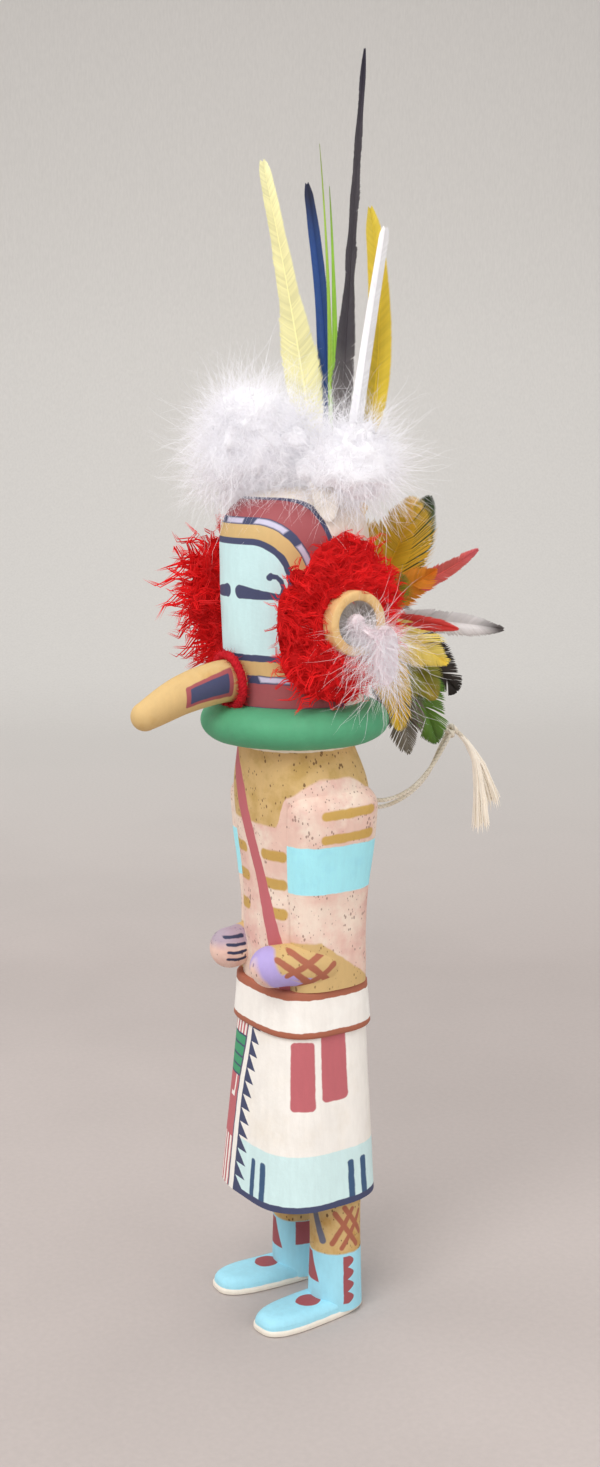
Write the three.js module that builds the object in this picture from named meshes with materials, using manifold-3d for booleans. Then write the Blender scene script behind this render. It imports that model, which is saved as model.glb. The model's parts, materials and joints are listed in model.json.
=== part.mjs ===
// A carved and painted cottonwood doll with a curved snout, wool hair, feathers and a hanging string.
// Millimetres, +Z up. The doll faces -Y and its left side is +X.
import * as THREE from "three";
import { mergeVertices } from "three/addons/utils/BufferGeometryUtils.js";
import Module from "manifold-3d";

const wasm = await Module();
wasm.setup();

const CLEARANCE = 0.3; // between pieces that touch

// Feet and legs
const SOLE_THICKNESS = 2;
const SOLE_RIM = 0.6;
const FOOT_LENGTH = 44.8;
const FOOT_WIDTH = 19;
const FOOT_HEIGHT = 6.2;
const FOOT_SPLAY = 5; // degrees, toes outwards
const HEEL_BEHIND_LEG = 10;
const KNEE_RADIUS = 9.3;
const ANKLE_RADIUS = 10;
const LEG_SPREAD = 15; // from the middle to a leg's axis
const LEG_BACK = 8.4;
const LEG_STAGGER = 1.6; // the left leg stands this far ahead of it and the right one behind

// Kilt and belt
const HEM_HEIGHT = 44.5;
const KILT_LENGTH = 63.3;
const HEM_HALF_WIDTH = 27.3;
const HEM_HALF_DEPTH = 24.3;
const WAIST_HALF_WIDTH = 22.6;
const WAIST_HALF_DEPTH = 19.9;
const WAIST_BACK = 2;
const BELT_HEIGHT = 17;
const BELT_THICKNESS = 1.5;
const TRUNK_SQUARENESS = 3; // 2 is a plain oval

// Torso and arms
const TORSO_HEIGHT = 86.5;
const TORSO_HALF_WIDTH = 21;
const TORSO_HALF_DEPTH = 18.5;
const CHEST_HALF_WIDTH = 25;
const CHEST_HALF_DEPTH = 21;
const TORSO_BACK = 1.5;
const NECK_RADIUS = 19.5;
const ARM_BACK = 2.5; // of the upper arm's axis from the middle
const SHOULDER_DROP = 22; // from the ruff to the widest part
const SHOULDER_X = 17.5;
const SHOULDER_HALF_WIDTH = 10.5;
const SHOULDER_HALF_DEPTH = 18;
const ELBOW_X = 15;
const ELBOW_HALF_WIDTH = 9;
const ELBOW_HALF_DEPTH = 15.5;
const FOREARM_RADIUS = 8.8;
const HAND_RADIUS = 7.4;
const HAND_X = 14;
const HAND_FORWARD = 20;

// Ruff and head
const HEAD_FORWARD = 1; // of the mask's axis from the middle
const RUFF_RADIUS = 33.3;
const RUFF_THICKNESS = 14.5;
const RUFF_EDGE = 10;
const HEAD_BASE_RADIUS = 24;
const HEAD_RADIUS = 26;
const HEAD_HEIGHT = 74;
const DOME_HEIGHT = 20;
const DOME_POWER = 2.5;

// Snout and its ring of yarn
const SNOUT_HEIGHT = 8.3; // above the ruff
const SNOUT_LENGTH = 38.5;
const SNOUT_DROOP = 9.5;
const SNOUT_RADIUS = 7.4;
const SNOUT_TIP_RADIUS = 5;
const SNOUT_RING_RADIUS = 1.6;

// Ears
const EAR_HEIGHT = 30; // above the ruff
const EAR_RADIUS = 11;
const EAR_WALL = 3.4;
const EAR_REACH = 39.5; // from the middle to the rim
const EAR_CUP_DEPTH = 7;

// Wool hair
const WOOL_X = 24;
const WOOL_BACK = 0.5;
const WOOL_HALF_DEPTH = 25;
const WOOL_HALF_HEIGHT = 31;
const WOOL_REACH = 36.5;

// Feather sockets, quills and vanes
const QUILL_WIDTH = 1.2;
const VANE_THICKNESS = 0.8;
const CROWN_SOCKET_WIDTH = 20;
const CROWN_SOCKET_DEPTH = 5;
const CROWN_SOCKET_BACK = 15;
const CROWN_SOCKET_SLOT = 4;
const BACK_SOCKET_RADIUS = 9;
const BACK_SOCKET_DEPTH = 3.5;
const BACK_SOCKET_HEIGHT = 28; // above the ruff

// Hanging string: two strands out of the back, tied in one knot, with two loose tails
const STRING_DIAMETER = 1.4;
const STRING_DROP = 24.5; // of its holes, below the ruff
const STRING_SPREAD = 5; // between its two holes
const STRING_HOLE_DEPTH = 3;
const KNOT_RADIUS = 2.8;
const STRAND_GAP = 0.5; // between the two strands inside the knot

// Heights that follow from the sizes above
const BELT_BOTTOM = HEM_HEIGHT + KILT_LENGTH;
const WAIST_TOP = BELT_BOTTOM + BELT_HEIGHT;
const RUFF_BOTTOM = WAIST_TOP + TORSO_HEIGHT;
const RUFF_TOP = RUFF_BOTTOM + RUFF_THICKNESS;
const HEAD_TOP = RUFF_TOP + HEAD_HEIGHT;
const DOME_BOTTOM = HEAD_TOP - DOME_HEIGHT;
const EAR_Z = RUFF_TOP + EAR_HEIGHT;

const COLOURS = {
  wood: 0xe3c4b4,
  ochre: 0xd9b45f,
  earWood: 0xe6c285,
  red: 0xc41420,
  white: 0xf4f1ee,
  cream: 0xf3e6cf,
};

// A point as a vector.
const at = (x, y, z) => new THREE.Vector3(x, y, z);

// A closed surface through rings of the same number of points, each ring a centre and two half-axes.
function loft(rings, sides, power = 2) {
  const positions = [];
  const index = [];
  const bent = (value, p) => Math.sign(value) * Math.abs(value) ** (2 / p);
  rings.forEach(({ centre, across, along, power: own }) => {
    for (let i = 0; i < sides; i++) {
      const angle = (2 * Math.PI * i) / sides;
      const point = centre
        .clone()
        .addScaledVector(across, bent(Math.cos(angle), own ?? power))
        .addScaledVector(along, bent(Math.sin(angle), own ?? power));
      positions.push(point.x, point.y, point.z);
    }
  });
  for (let row = 0; row + 1 < rings.length; row++) {
    for (let i = 0; i < sides; i++) {
      const a = row * sides + i;
      const b = row * sides + ((i + 1) % sides);
      index.push(a, b, a + sides, b, b + sides, a + sides);
    }
  }
  const last = (rings.length - 1) * sides;
  for (const [ring, first, turn] of [[rings[0], 0, 1], [rings.at(-1), last, 0]]) {
    const middle = positions.length / 3;
    positions.push(ring.centre.x, ring.centre.y, ring.centre.z);
    for (let i = 0; i < sides; i++) {
      const pair = [first + i, first + ((i + 1) % sides)];
      index.push(middle, pair[turn], pair[1 - turn]);
    }
  }
  const geometry = new THREE.BufferGeometry();
  geometry.setAttribute("position", new THREE.Float32BufferAttribute(positions, 3));
  geometry.setIndex(index);
  return solid(geometry);
}

// A three.js geometry as a manifold solid, turned the right way out.
function solid(geometry) {
  const bare = new THREE.BufferGeometry();
  bare.setAttribute("position", geometry.getAttribute("position"));
  bare.setIndex(geometry.getIndex());
  const merged = mergeVertices(bare, 1e-4);
  const triVerts = new Uint32Array(merged.index.array);
  const vertProperties = merged.attributes.position.array;
  const made = new wasm.Manifold(new wasm.Mesh({ numProp: 3, vertProperties, triVerts }));
  if (made.volume() >= 0) return made;
  for (let i = 0; i < triVerts.length; i += 3) {
    [triVerts[i + 1], triVerts[i + 2]] = [triVerts[i + 2], triVerts[i + 1]];
  }
  return new wasm.Manifold(new wasm.Mesh({ numProp: 3, vertProperties, triVerts }));
}

// A horizontal ring of the trunk.
const level = (z, halfWidth, halfDepth = halfWidth, y = 0, power = 2) => ({
  centre: at(0, y, z),
  across: at(halfWidth, 0, 0),
  along: at(0, halfDepth, 0),
  power,
});

// Rings of a limb along a curve: radius(t) gives its half-width and its half-height.
function limbRings(curve, count, size, side = at(1, 0, 0)) {
  return Array.from({ length: count + 1 }, (_, i) => {
    const t = i / count;
    const forward = curve.getTangent(t);
    const up = forward.clone().cross(side).normalize();
    const across = up.clone().cross(forward).normalize();
    const [halfWidth, halfHeight] = size(t);
    return {
      centre: curve.getPoint(t),
      across: across.multiplyScalar(halfWidth),
      along: up.multiplyScalar(halfHeight),
    };
  });
}

// An ellipsoid about a centre.
function ellipsoid(centre, halfSizes, segments = 14) {
  const ball = new THREE.SphereGeometry(1, segments, Math.round(segments * 0.6));
  ball.scale(halfSizes.x, halfSizes.y, halfSizes.z);
  ball.translate(centre.x, centre.y, centre.z);
  return solid(ball);
}

// A cylinder from one point to another.
function rod(from, to, radius, segments = 24) {
  const length = from.distanceTo(to);
  const bar = new THREE.CylinderGeometry(radius, radius, length, segments);
  const turn = new THREE.Quaternion().setFromUnitVectors(
    at(0, 1, 0),
    to.clone().sub(from).divideScalar(length),
  );
  bar.applyQuaternion(turn);
  const middle = from.clone().add(to).multiplyScalar(0.5);
  bar.translate(middle.x, middle.y, middle.z);
  return solid(bar);
}

const joined = (...solids) => solids.reduce((all, next) => all.add(next));
const mirrored = (piece) => piece.mirror([1, 0, 0]);

// The carved head: a case mask that widens upwards to a low dome.
function head(grow = 0) {
  const wallRows = 3;
  const domeRows = 6;
  const bottom = RUFF_TOP - RUFF_EDGE / 2;
  const rings = [];
  for (let i = 0; i < wallRows; i++) {
    const t = i / wallRows;
    const radius = HEAD_BASE_RADIUS + (HEAD_RADIUS - HEAD_BASE_RADIUS) * Math.sin((t * Math.PI) / 2);
    rings.push(level(bottom + t * (DOME_BOTTOM - bottom), radius + grow, radius + grow, -HEAD_FORWARD));
  }
  for (let i = 0; i < domeRows; i++) {
    const t = Math.sin(((i / domeRows) * Math.PI) / 2);
    const radius = HEAD_RADIUS * (1 - t ** DOME_POWER) ** (1 / DOME_POWER);
    rings.push(level(DOME_BOTTOM + t * (DOME_HEIGHT + grow), radius + grow, radius + grow, -HEAD_FORWARD));
  }
  const lid = 0.16;
  rings.push(level(HEAD_TOP + grow, HEAD_RADIUS * lid, HEAD_RADIUS * lid, -HEAD_FORWARD));
  return loft(rings, 28);
}

// The ruff: a thick disc with a rounded edge under the head.
function ruff(grow = 0) {
  const rows = 6;
  const rings = Array.from({ length: rows + 1 }, (_, i) => {
    const angle = (i / rows - 0.5) * Math.PI;
    const radius = RUFF_RADIUS - RUFF_EDGE * (1 - Math.cos(angle));
    const z = RUFF_BOTTOM + (RUFF_THICKNESS / 2) * (1 + Math.sin(angle));
    return level(z + grow * Math.sin(angle), radius + grow, radius + grow, -HEAD_FORWARD);
  });
  return loft(rings, 30);
}

// The torso from the belt to the neck.
function torso() {
  const rows = 6;
  const height = TORSO_HEIGHT + BELT_HEIGHT / 2 + RUFF_EDGE / 2;
  const rings = Array.from({ length: rows + 1 }, (_, i) => {
    const t = i / rows;
    const chest = THREE.MathUtils.smoothstep(t, 0.4, 0.75);
    const neck = THREE.MathUtils.smoothstep(t, 0.77, 1);
    const mix = (waist, full) =>
      THREE.MathUtils.lerp(THREE.MathUtils.lerp(waist, full, chest), NECK_RADIUS, neck);
    const halfWidth = mix(TORSO_HALF_WIDTH, CHEST_HALF_WIDTH);
    const halfDepth = mix(TORSO_HALF_DEPTH, CHEST_HALF_DEPTH);
    const y = THREE.MathUtils.lerp(TORSO_BACK, -HEAD_FORWARD, neck);
    const z = WAIST_TOP - BELT_HEIGHT / 2 + t * height;
    return level(z, halfWidth, halfDepth, y, 2.6 - 0.5 * neck);
  });
  return loft(rings, 26);
}

// The kilt: an oval cone that flares to its hem.
function kilt() {
  const rows = 2;
  const rings = Array.from({ length: rows + 1 }, (_, i) => {
    const t = i / rows;
    const halfWidth = THREE.MathUtils.lerp(HEM_HALF_WIDTH, WAIST_HALF_WIDTH, t);
    const halfDepth = THREE.MathUtils.lerp(HEM_HALF_DEPTH, WAIST_HALF_DEPTH, t);
    return level(HEM_HEIGHT + t * (KILT_LENGTH + 1), halfWidth, halfDepth, WAIST_BACK * t, TRUNK_SQUARENESS);
  });
  return loft(rings, 32);
}

// The belt stands proud of the kilt at its lower edge and meets the torso at its upper one.
function belt() {
  const edge = 0.8;
  const ring = (z, proud) =>
    level(z, WAIST_HALF_WIDTH + proud, WAIST_HALF_DEPTH + proud, WAIST_BACK, TRUNK_SQUARENESS);
  return loft(
    [
      ring(BELT_BOTTOM, BELT_THICKNESS - edge),
      ring(BELT_BOTTOM + edge, BELT_THICKNESS),
      ring(WAIST_TOP - edge, edge / 2),
      ring(WAIST_TOP, -edge / 2),
    ],
    32,
  );
}

// The left upper arm, in relief down the side from a round shoulder.
function leftUpperArm() {
  const shoulderZ = RUFF_BOTTOM - SHOULDER_DROP;
  const elbowZ = WAIST_TOP;
  const rows = 4;
  const domeRows = 4;
  const rings = [];
  for (let i = 0; i <= rows; i++) {
    const t = i / rows;
    const full = THREE.MathUtils.smoothstep(t, 0.35, 1);
    const x = THREE.MathUtils.lerp(ELBOW_X, SHOULDER_X, full);
    rings.push({
      centre: at(x, ARM_BACK, elbowZ + t * (shoulderZ - elbowZ)),
      across: at(THREE.MathUtils.lerp(ELBOW_HALF_WIDTH, SHOULDER_HALF_WIDTH, full), 0, 0),
      along: at(0, THREE.MathUtils.lerp(ELBOW_HALF_DEPTH, SHOULDER_HALF_DEPTH, full), 0),
    });
  }
  for (let i = 1; i <= domeRows; i++) {
    const angle = ((i / domeRows) * Math.PI * 0.94) / 2;
    const shrink = Math.cos(angle);
    rings.push({
      centre: at(SHOULDER_X - 6 * (1 - shrink), ARM_BACK, shoulderZ + 11 * Math.sin(angle)),
      across: at(SHOULDER_HALF_WIDTH * shrink, 0, 0),
      along: at(0, SHOULDER_HALF_DEPTH * shrink, 0),
    });
  }
  return loft(rings, 16, 2.4);
}

// The left forearm, from the elbow forwards along the top of the belt to a closed hand.
function leftForearm() {
  const z = WAIST_TOP + HAND_RADIUS + 2;
  const line = new THREE.CatmullRomCurve3([
    at(ELBOW_X - 3, ARM_BACK + 9, z - 3),
    at(ELBOW_X, ARM_BACK + 1, z - 1.5),
    at(HAND_X + 2, -HAND_FORWARD * 0.45, z),
    at(HAND_X, -HAND_FORWARD, z),
  ]);
  const size = (t) => {
    const grown = THREE.MathUtils.lerp(FOREARM_RADIUS * 0.7, FOREARM_RADIUS, Math.min(1, t * 2.2));
    const wrist = THREE.MathUtils.smoothstep(t, 0.5, 0.9);
    const radius = THREE.MathUtils.lerp(grown, HAND_RADIUS, wrist);
    return [radius, radius];
  };
  const rings = limbRings(line, 9, size);
  const end = rings.at(-1);
  const forward = line.getTangent(1);
  for (const turn of [0.4, 0.75, 0.94]) {
    const fall = Math.sqrt(1 - turn ** 2);
    rings.push({
      centre: end.centre.clone().addScaledVector(forward, turn * HAND_RADIUS),
      across: end.across.clone().multiplyScalar(fall),
      along: end.along.clone().multiplyScalar(fall),
    });
  }
  return loft(rings, 14);
}

// A leg on the left, a post that thickens a little down to the ankle.
function leg(back) {
  const post = (z, radius) => ({ ...level(z, radius), centre: at(LEG_SPREAD, back, z) });
  return loft(
    [
      post(SOLE_THICKNESS, ANKLE_RADIUS),
      post(HEM_HEIGHT * 0.6, KNEE_RADIUS),
      post(HEM_HEIGHT + KNEE_RADIUS, KNEE_RADIUS),
    ],
    22,
  );
}

// A foot on the left: a flat sole with a rim under a low rounded upper, toes turned out.
function foot(back) {
  const turn = THREE.MathUtils.degToRad(FOOT_SPLAY);
  const forward = at(Math.sin(turn), -Math.cos(turn), 0);
  const sideways = at(Math.cos(turn), Math.sin(turn), 0);
  const middle = at(LEG_SPREAD, back, 0).addScaledVector(forward, FOOT_LENGTH / 2 - HEEL_BEHIND_LEG);
  const outline = (z, inset) => ({
    centre: middle.clone().setZ(z),
    across: sideways.clone().multiplyScalar(FOOT_WIDTH / 2 - inset),
    along: forward.clone().multiplyScalar(-FOOT_LENGTH / 2 + inset),
    power: 3,
  });
  const sole = loft([outline(0, 0.5), outline(0.5, 0), outline(SOLE_THICKNESS, 0)], 24);
  const rows = 4;
  const upper = Array.from({ length: rows + 1 }, (_, i) => {
    const t = i / rows;
    const inset = SOLE_RIM + FOOT_WIDTH * 0.25 * (1 - Math.sqrt(1 - t ** 2.4));
    return outline(SOLE_THICKNESS / 2 + t * (FOOT_HEIGHT - SOLE_THICKNESS / 2), inset);
  });
  return sole.add(loft(upper, 24));
}

// Two straight holes in the back that the string is glued into.
const stringZ = RUFF_BOTTOM - STRING_DROP;
const stringBack = TORSO_BACK + CHEST_HALF_DEPTH;
function stringHoles() {
  const radius = STRING_DIAMETER / 2 + CLEARANCE;
  return [-1, 1].map((side) =>
    rod(
      at((side * STRING_SPREAD) / 2, stringBack - STRING_HOLE_DEPTH, stringZ),
      at((side * STRING_SPREAD) / 2, stringBack + STRING_SPREAD, stringZ),
      radius,
      10,
    ),
  );
}

// The slot in the crown that the tall plumes stand in.
const crownSocketFloor = HEAD_TOP - DOME_HEIGHT * 0.35 - CROWN_SOCKET_DEPTH;
function crownSocket() {
  const slot = new THREE.BoxGeometry(CROWN_SOCKET_WIDTH, CROWN_SOCKET_SLOT, DOME_HEIGHT);
  slot.translate(0, CROWN_SOCKET_BACK, crownSocketFloor + DOME_HEIGHT / 2);
  return solid(slot);
}

// The round socket in the back of the head that the bunch of feathers is set in.
const backSocketZ = RUFF_TOP + BACK_SOCKET_HEIGHT;
const backSocket = at(0, HEAD_RADIUS - HEAD_FORWARD - BACK_SOCKET_DEPTH, backSocketZ);
function backSocketHole() {
  const mouth = backSocket.clone().add(at(0, BACK_SOCKET_DEPTH * 2, 0));
  return rod(backSocket, mouth, BACK_SOCKET_RADIUS, 20);
}

// The carved figure, all one block of wood.
function figure() {
  const arm = leftUpperArm().add(leftForearm());
  const side = (back) => leg(back).add(foot(back));
  const legs = side(LEG_BACK - LEG_STAGGER).add(mirrored(side(LEG_BACK + LEG_STAGGER)));
  let wood = joined(kilt(), belt(), torso(), ruff(), head(), arm, mirrored(arm), legs);
  for (const hole of [...stringHoles(), crownSocket(), backSocketHole()]) wood = wood.subtract(hole);
  return wood;
}

// The head and ruff with the gap that other pieces keep to them.
const headCutter = head(CLEARANCE).add(ruff(CLEARANCE));

// The snout: a fat horn that runs forwards from the mask and droops.
const snoutZ = RUFF_TOP + SNOUT_HEIGHT;
function snout(grow = 0) {
  const front = -HEAD_FORWARD - HEAD_RADIUS;
  const start = front + HEAD_RADIUS * 0.3;
  const tip = front - SNOUT_LENGTH + SNOUT_TIP_RADIUS;
  const spine = new THREE.CatmullRomCurve3([
    at(0, start, snoutZ + 0.5),
    at(0, front - SNOUT_LENGTH * 0.15, snoutZ - 0.3),
    at(0, front - SNOUT_LENGTH * 0.5, snoutZ - SNOUT_DROOP * 0.36),
    at(0, tip, snoutZ - SNOUT_DROOP),
  ]);
  const body = (t) => {
    const taper = THREE.MathUtils.lerp(SNOUT_RADIUS, SNOUT_TIP_RADIUS, t ** 3) + grow;
    return [taper * 0.95, taper];
  };
  const rings = limbRings(spine, 8, body);
  const end = rings.at(-1);
  const forward = spine.getTangent(1);
  for (const turn of [0.35, 0.7, 0.93]) {
    const fall = Math.sqrt(1 - turn ** 2);
    rings.push({
      centre: end.centre.clone().addScaledVector(forward, turn * (SNOUT_TIP_RADIUS + grow)),
      across: end.across.clone().multiplyScalar(fall),
      along: end.along.clone().multiplyScalar(fall),
    });
  }
  return loft(rings, 18);
}

// A ring of yarn round the snout where it meets the mask.
function snoutRing() {
  const ring = new THREE.TorusGeometry(SNOUT_RADIUS + SNOUT_RING_RADIUS, SNOUT_RING_RADIUS, 6, 18);
  ring.rotateX(Math.PI / 2);
  ring.translate(0, -HEAD_FORWARD - HEAD_RADIUS - SNOUT_RING_RADIUS * 0.5, snoutZ);
  return solid(ring).subtract(headCutter).subtract(snout(CLEARANCE));
}

// The left ear: a round cup with a hollow face, glued to the side of the mask.
function leftEar(grow = 0) {
  const inner = at(HEAD_RADIUS * 0.8, -HEAD_FORWARD, EAR_Z);
  const rim = at(EAR_REACH, -HEAD_FORWARD, EAR_Z);
  const block = rod(inner, rim, EAR_RADIUS + grow, 24);
  if (grow) return block;
  const floor = at(EAR_REACH - EAR_CUP_DEPTH, -HEAD_FORWARD, EAR_Z);
  const mouth = at(EAR_REACH + EAR_CUP_DEPTH, -HEAD_FORWARD, EAR_Z);
  return block.subtract(rod(floor, mouth, EAR_RADIUS - EAR_WALL, 24)).subtract(headCutter);
}

// The soft down that stands in the left ear and hangs below it.
function leftEarDown() {
  const floor = EAR_REACH - EAR_CUP_DEPTH + CLEARANCE;
  const radius = EAR_RADIUS - EAR_WALL - CLEARANCE;
  const stem = rod(at(floor, -HEAD_FORWARD, EAR_Z), at(EAR_REACH + 3, -HEAD_FORWARD, EAR_Z), radius, 16);
  const hanging = ellipsoid(at(EAR_REACH + 7, 5, EAR_Z - 10), at(6.4, 10, 16), 12);
  return stem.add(hanging);
}

// The wool hair on the left of the mask, round the ear.
function leftWool() {
  const halfSizes = at(WOOL_REACH - WOOL_X, WOOL_HALF_DEPTH, WOOL_HALF_HEIGHT);
  const mat = ellipsoid(at(WOOL_X, WOOL_BACK, EAR_Z), halfSizes, 14);
  return mat.subtract(headCutter).subtract(leftEar(CLEARANCE));
}

// Soft white down on the front and sides of the crown: centre above the head's top, then half sizes.
const CROWN_DOWN = {
  crown_down_front: { centre: at(-7, -14, 19), half: at(22, 22, 21) },
  crown_down_left: { centre: at(22, 8, 12), half: at(17, 17, 17) },
  crown_down_right: { centre: at(-25, 8, 7), half: at(12, 12, 14) },
};
function crownDown(keepClear) {
  const taken = [headCutter, ...keepClear];
  return Object.entries(CROWN_DOWN).map(([name, { centre, half }]) => {
    const middle = at(0, 0, HEAD_TOP).add(centre);
    const down = taken.reduce((rest, other) => rest.subtract(other), ellipsoid(middle, half, 14));
    taken.push(ellipsoid(middle, half.clone().addScalar(CLEARANCE), 14));
    return [name, down, COLOURS.white];
  });
}

// A feather: a bare quill that opens into a thin vane along a bent line from base to tip.
// bend moves the middle of the line, face is the way the flat side looks, full < 1 puts the
// widest part nearer the tip, blunt < 1 rounds both ends.
function feather(shape) {
  const { base, tip, width, bend = at(0, 0, 0), face = at(0, 1, 0), spare = 0 } = shape;
  const { quill = 0.2, full = 1, blunt = 0.6, rows = 6 } = shape;
  const middle = base.clone().add(tip).multiplyScalar(0.5).add(bend);
  const line = new THREE.QuadraticBezierCurve3(base, middle, tip);
  const rings = Array.from({ length: rows + 1 }, (_, i) => {
    const t = i / rows;
    const along = line.getTangent(t);
    const across = along.clone().cross(face).normalize();
    const out = across.clone().cross(along).normalize();
    const share = THREE.MathUtils.clamp((t - quill) / (1 - quill), 0, 0.98);
    const open = Math.sin(Math.PI * share ** (1 / full)) ** blunt;
    return {
      centre: line.getPoint(t),
      across: across.multiplyScalar(Math.max(QUILL_WIDTH, width * open) / 2 + spare),
      along: out.multiplyScalar(VANE_THICKNESS / 2 + spare),
      power: 1.6,
    };
  });
  return loft(rings, 6);
}

// Tall plumes in the crown's slot, from the doll's right to its left: the quill's x, then the tip
// above the head's top.
const PLUMES = {
  plume_cream: { slot: -6, tip: at(-27, 6, 112), width: 11, bend: at(3, 0, 6), full: 1.1, colour: 0xe9e2a8 },
  plume_navy: { slot: -4, tip: at(-26, 22, 105), width: 7, bend: at(8, 2, 0), full: 0.85, colour: 0x26366b },
  plume_green_long: { slot: -2, tip: at(-15, 20, 117), width: 3, bend: at(5, 1, 0), colour: 0x8c9a4a },
  plume_green_short: { slot: 0, tip: at(-9, 22, 102), width: 3, bend: at(4, -1, 0), colour: 0x6f8a3c },
  plume_black: { slot: 2, tip: at(9, 21, 143), width: 5, bend: at(-3, 1, 0), full: 0.9, colour: 0x2b2630 },
  plume_yellow: { slot: 4, tip: at(15, 23, 93), width: 9, bend: at(12, 6, -8), colour: 0xc9a92e },
  plume_white: { slot: 6, tip: at(25.5, 17, 86), width: 5, bend: at(-3, -3, 0), full: 1.3, colour: 0xeeebe4 },
};
function plumes(spare = 0) {
  return Object.entries(PLUMES).map(([name, { slot, tip, colour, ...shape }]) => {
    const base = at(slot, CROWN_SOCKET_BACK, crownSocketFloor + CLEARANCE);
    const end = at(0, 0, HEAD_TOP).add(tip);
    return [name, feather({ ...shape, base, tip: end, spare }), colour];
  });
}

// The bunch at the back of the head. Each feather leaves the socket towards one side (degrees to
// the doll's left of straight back) and up (degrees above level).
const BUNCH = {
  back_mustard: { side: 46, up: 62, length: 48, width: 13, full: 1.2, colour: 0xc79b25 },
  back_dark_green: { side: 18, up: 54, length: 52, width: 8, full: 1.3, colour: 0x3a4a1e },
  back_pink_red: { side: 34, up: 27, length: 52, width: 4.5, full: 1.1, colour: 0xc94a3c },
  back_orange: { side: 52, up: 28, length: 37, width: 6, full: 1.2, colour: 0xe08a2a },
  back_bright_green: { side: 74, up: 32, length: 30, width: 6, full: 1.2, colour: 0x6b9a2c },
  back_long_grey: { side: 24, up: -4, length: 57, width: 5, full: 1, colour: 0xb8b4ac },
  back_red: { side: 44, up: -6, length: 40, width: 4, full: 1, colour: 0xb8322c },
  back_pale_yellow: { side: 50, up: -24, length: 40, width: 8, full: 1.3, colour: 0xe0c95a },
  back_black: { side: 10, up: -34, length: 54, width: 12, full: 1.4, colour: 0x2a241c },
  back_olive: { side: 36, up: -43, length: 42, width: 7, colour: 0x77752a },
  back_green: { side: 15, up: -54, length: 60, width: 9, full: 1.2, colour: 0x4d6b22 },
  back_yellow: { side: 76, up: -58, length: 46, width: 9, full: 1.2, colour: 0xd4b23a },
  back_grey: { side: 40, up: -66, length: 55, width: 11, full: 1.4, colour: 0x6f6658 },
  back_right_mustard: { side: -44, up: 58, length: 46, width: 11, full: 1.2, colour: 0xc79b25 },
  back_right_green: { side: -30, up: 34, length: 46, width: 7, full: 1.2, colour: 0x3a4a1e },
  back_right_red: { side: -52, up: 14, length: 42, width: 5, full: 1.1, colour: 0xb8322c },
  back_right_grey: { side: -24, up: -8, length: 50, width: 6, full: 1.1, colour: 0x8c867c },
  back_right_yellow: { side: -50, up: -30, length: 42, width: 8, full: 1.2, colour: 0xd4b23a },
  back_right_olive: { side: -24, up: -46, length: 50, width: 9, full: 1.2, colour: 0x77752a },
  back_right_black: { side: -58, up: -62, length: 48, width: 10, full: 1.3, colour: 0x2a241c },
};
function bunch() {
  return Object.entries(BUNCH).map(([name, { side, up, length, colour, ...shape }]) => {
    const turn = THREE.MathUtils.degToRad(side);
    const rise = THREE.MathUtils.degToRad(up);
    const reach = at(Math.sin(turn) * Math.cos(rise), Math.cos(turn) * Math.cos(rise), Math.sin(rise));
    const spread = at(reach.x, 0, reach.z).multiplyScalar(BACK_SOCKET_RADIUS * 0.62);
    const base = backSocket.clone().add(spread).add(at(0, CLEARANCE, 0));
    const tip = backSocket.clone().addScaledVector(reach, length);
    const face = at(-reach.x * reach.y, 1 - reach.y ** 2, -reach.z * reach.y).normalize();
    const bend = at(0, length * 0.3, 0).addScaledVector(tip.clone().sub(base), -0.25);
    return [name, feather({ bend, face, quill: 0.2, rows: 5, ...shape, base, tip }), colour];
  });
}

// The routes of the two strands, from the hole in the back, through the knot, to the tail's end.
const knot = at(1.5, 68, RUFF_BOTTOM - 3.5);
const strandOffset = (STRING_DIAMETER + STRAND_GAP) / 2;
const STRANDS = {
  string_left: [
    at(STRING_SPREAD / 2, stringBack - STRING_HOLE_DEPTH + 1, stringZ),
    at(STRING_SPREAD / 2, stringBack + 3, stringZ),
    at(4, 36, 185.5),
    at(3.8, 47, 188),
    at(2.8, 57, 194.5),
    knot.clone().add(at(strandOffset, -3.5, -4.5)),
    knot.clone().add(at(strandOffset, 0, 0)),
    knot.clone().add(at(strandOffset, 4, -2)),
    at(4, 77, 198),
    at(3.6, 80, 185),
    at(3.2, 81.5, 171),
  ],
  string_right: [
    at(-STRING_SPREAD / 2, stringBack - STRING_HOLE_DEPTH + 1, stringZ),
    at(-STRING_SPREAD / 2, stringBack + 3, stringZ - 1),
    at(-0.5, 36, 182),
    at(1.2, 47, 185),
    at(0.6, 57, 191.5),
    knot.clone().add(at(-strandOffset, -3.5, -4.5)),
    knot.clone().add(at(-strandOffset, 0, 0)),
    knot.clone().add(at(-strandOffset, 4, -1.5)),
    at(-1, 79, 200),
    at(-1.6, 86, 190),
    at(-2, 91, 178),
  ],
};

// A round strand along a route, with closed ends.
function strand(route, radius) {
  const line = new THREE.CatmullRomCurve3(route);
  const steps = Math.round(line.getLength() / (STRING_DIAMETER * 2.9));
  const outline = new THREE.Shape();
  outline.absarc(0, 0, radius, 0, 2 * Math.PI);
  const options = { steps, curveSegments: 4, extrudePath: line };
  return solid(new THREE.ExtrudeGeometry(outline, options));
}

// The knot, tied tight round both strands.
function stringKnot() {
  const ball = ellipsoid(knot, at(KNOT_RADIUS, KNOT_RADIUS, KNOT_RADIUS * 0.9), 10);
  const tight = STRING_DIAMETER / 2 + 0.1;
  return Object.values(STRANDS).reduce((rest, route) => rest.subtract(strand(route, tight)), ball);
}

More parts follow.
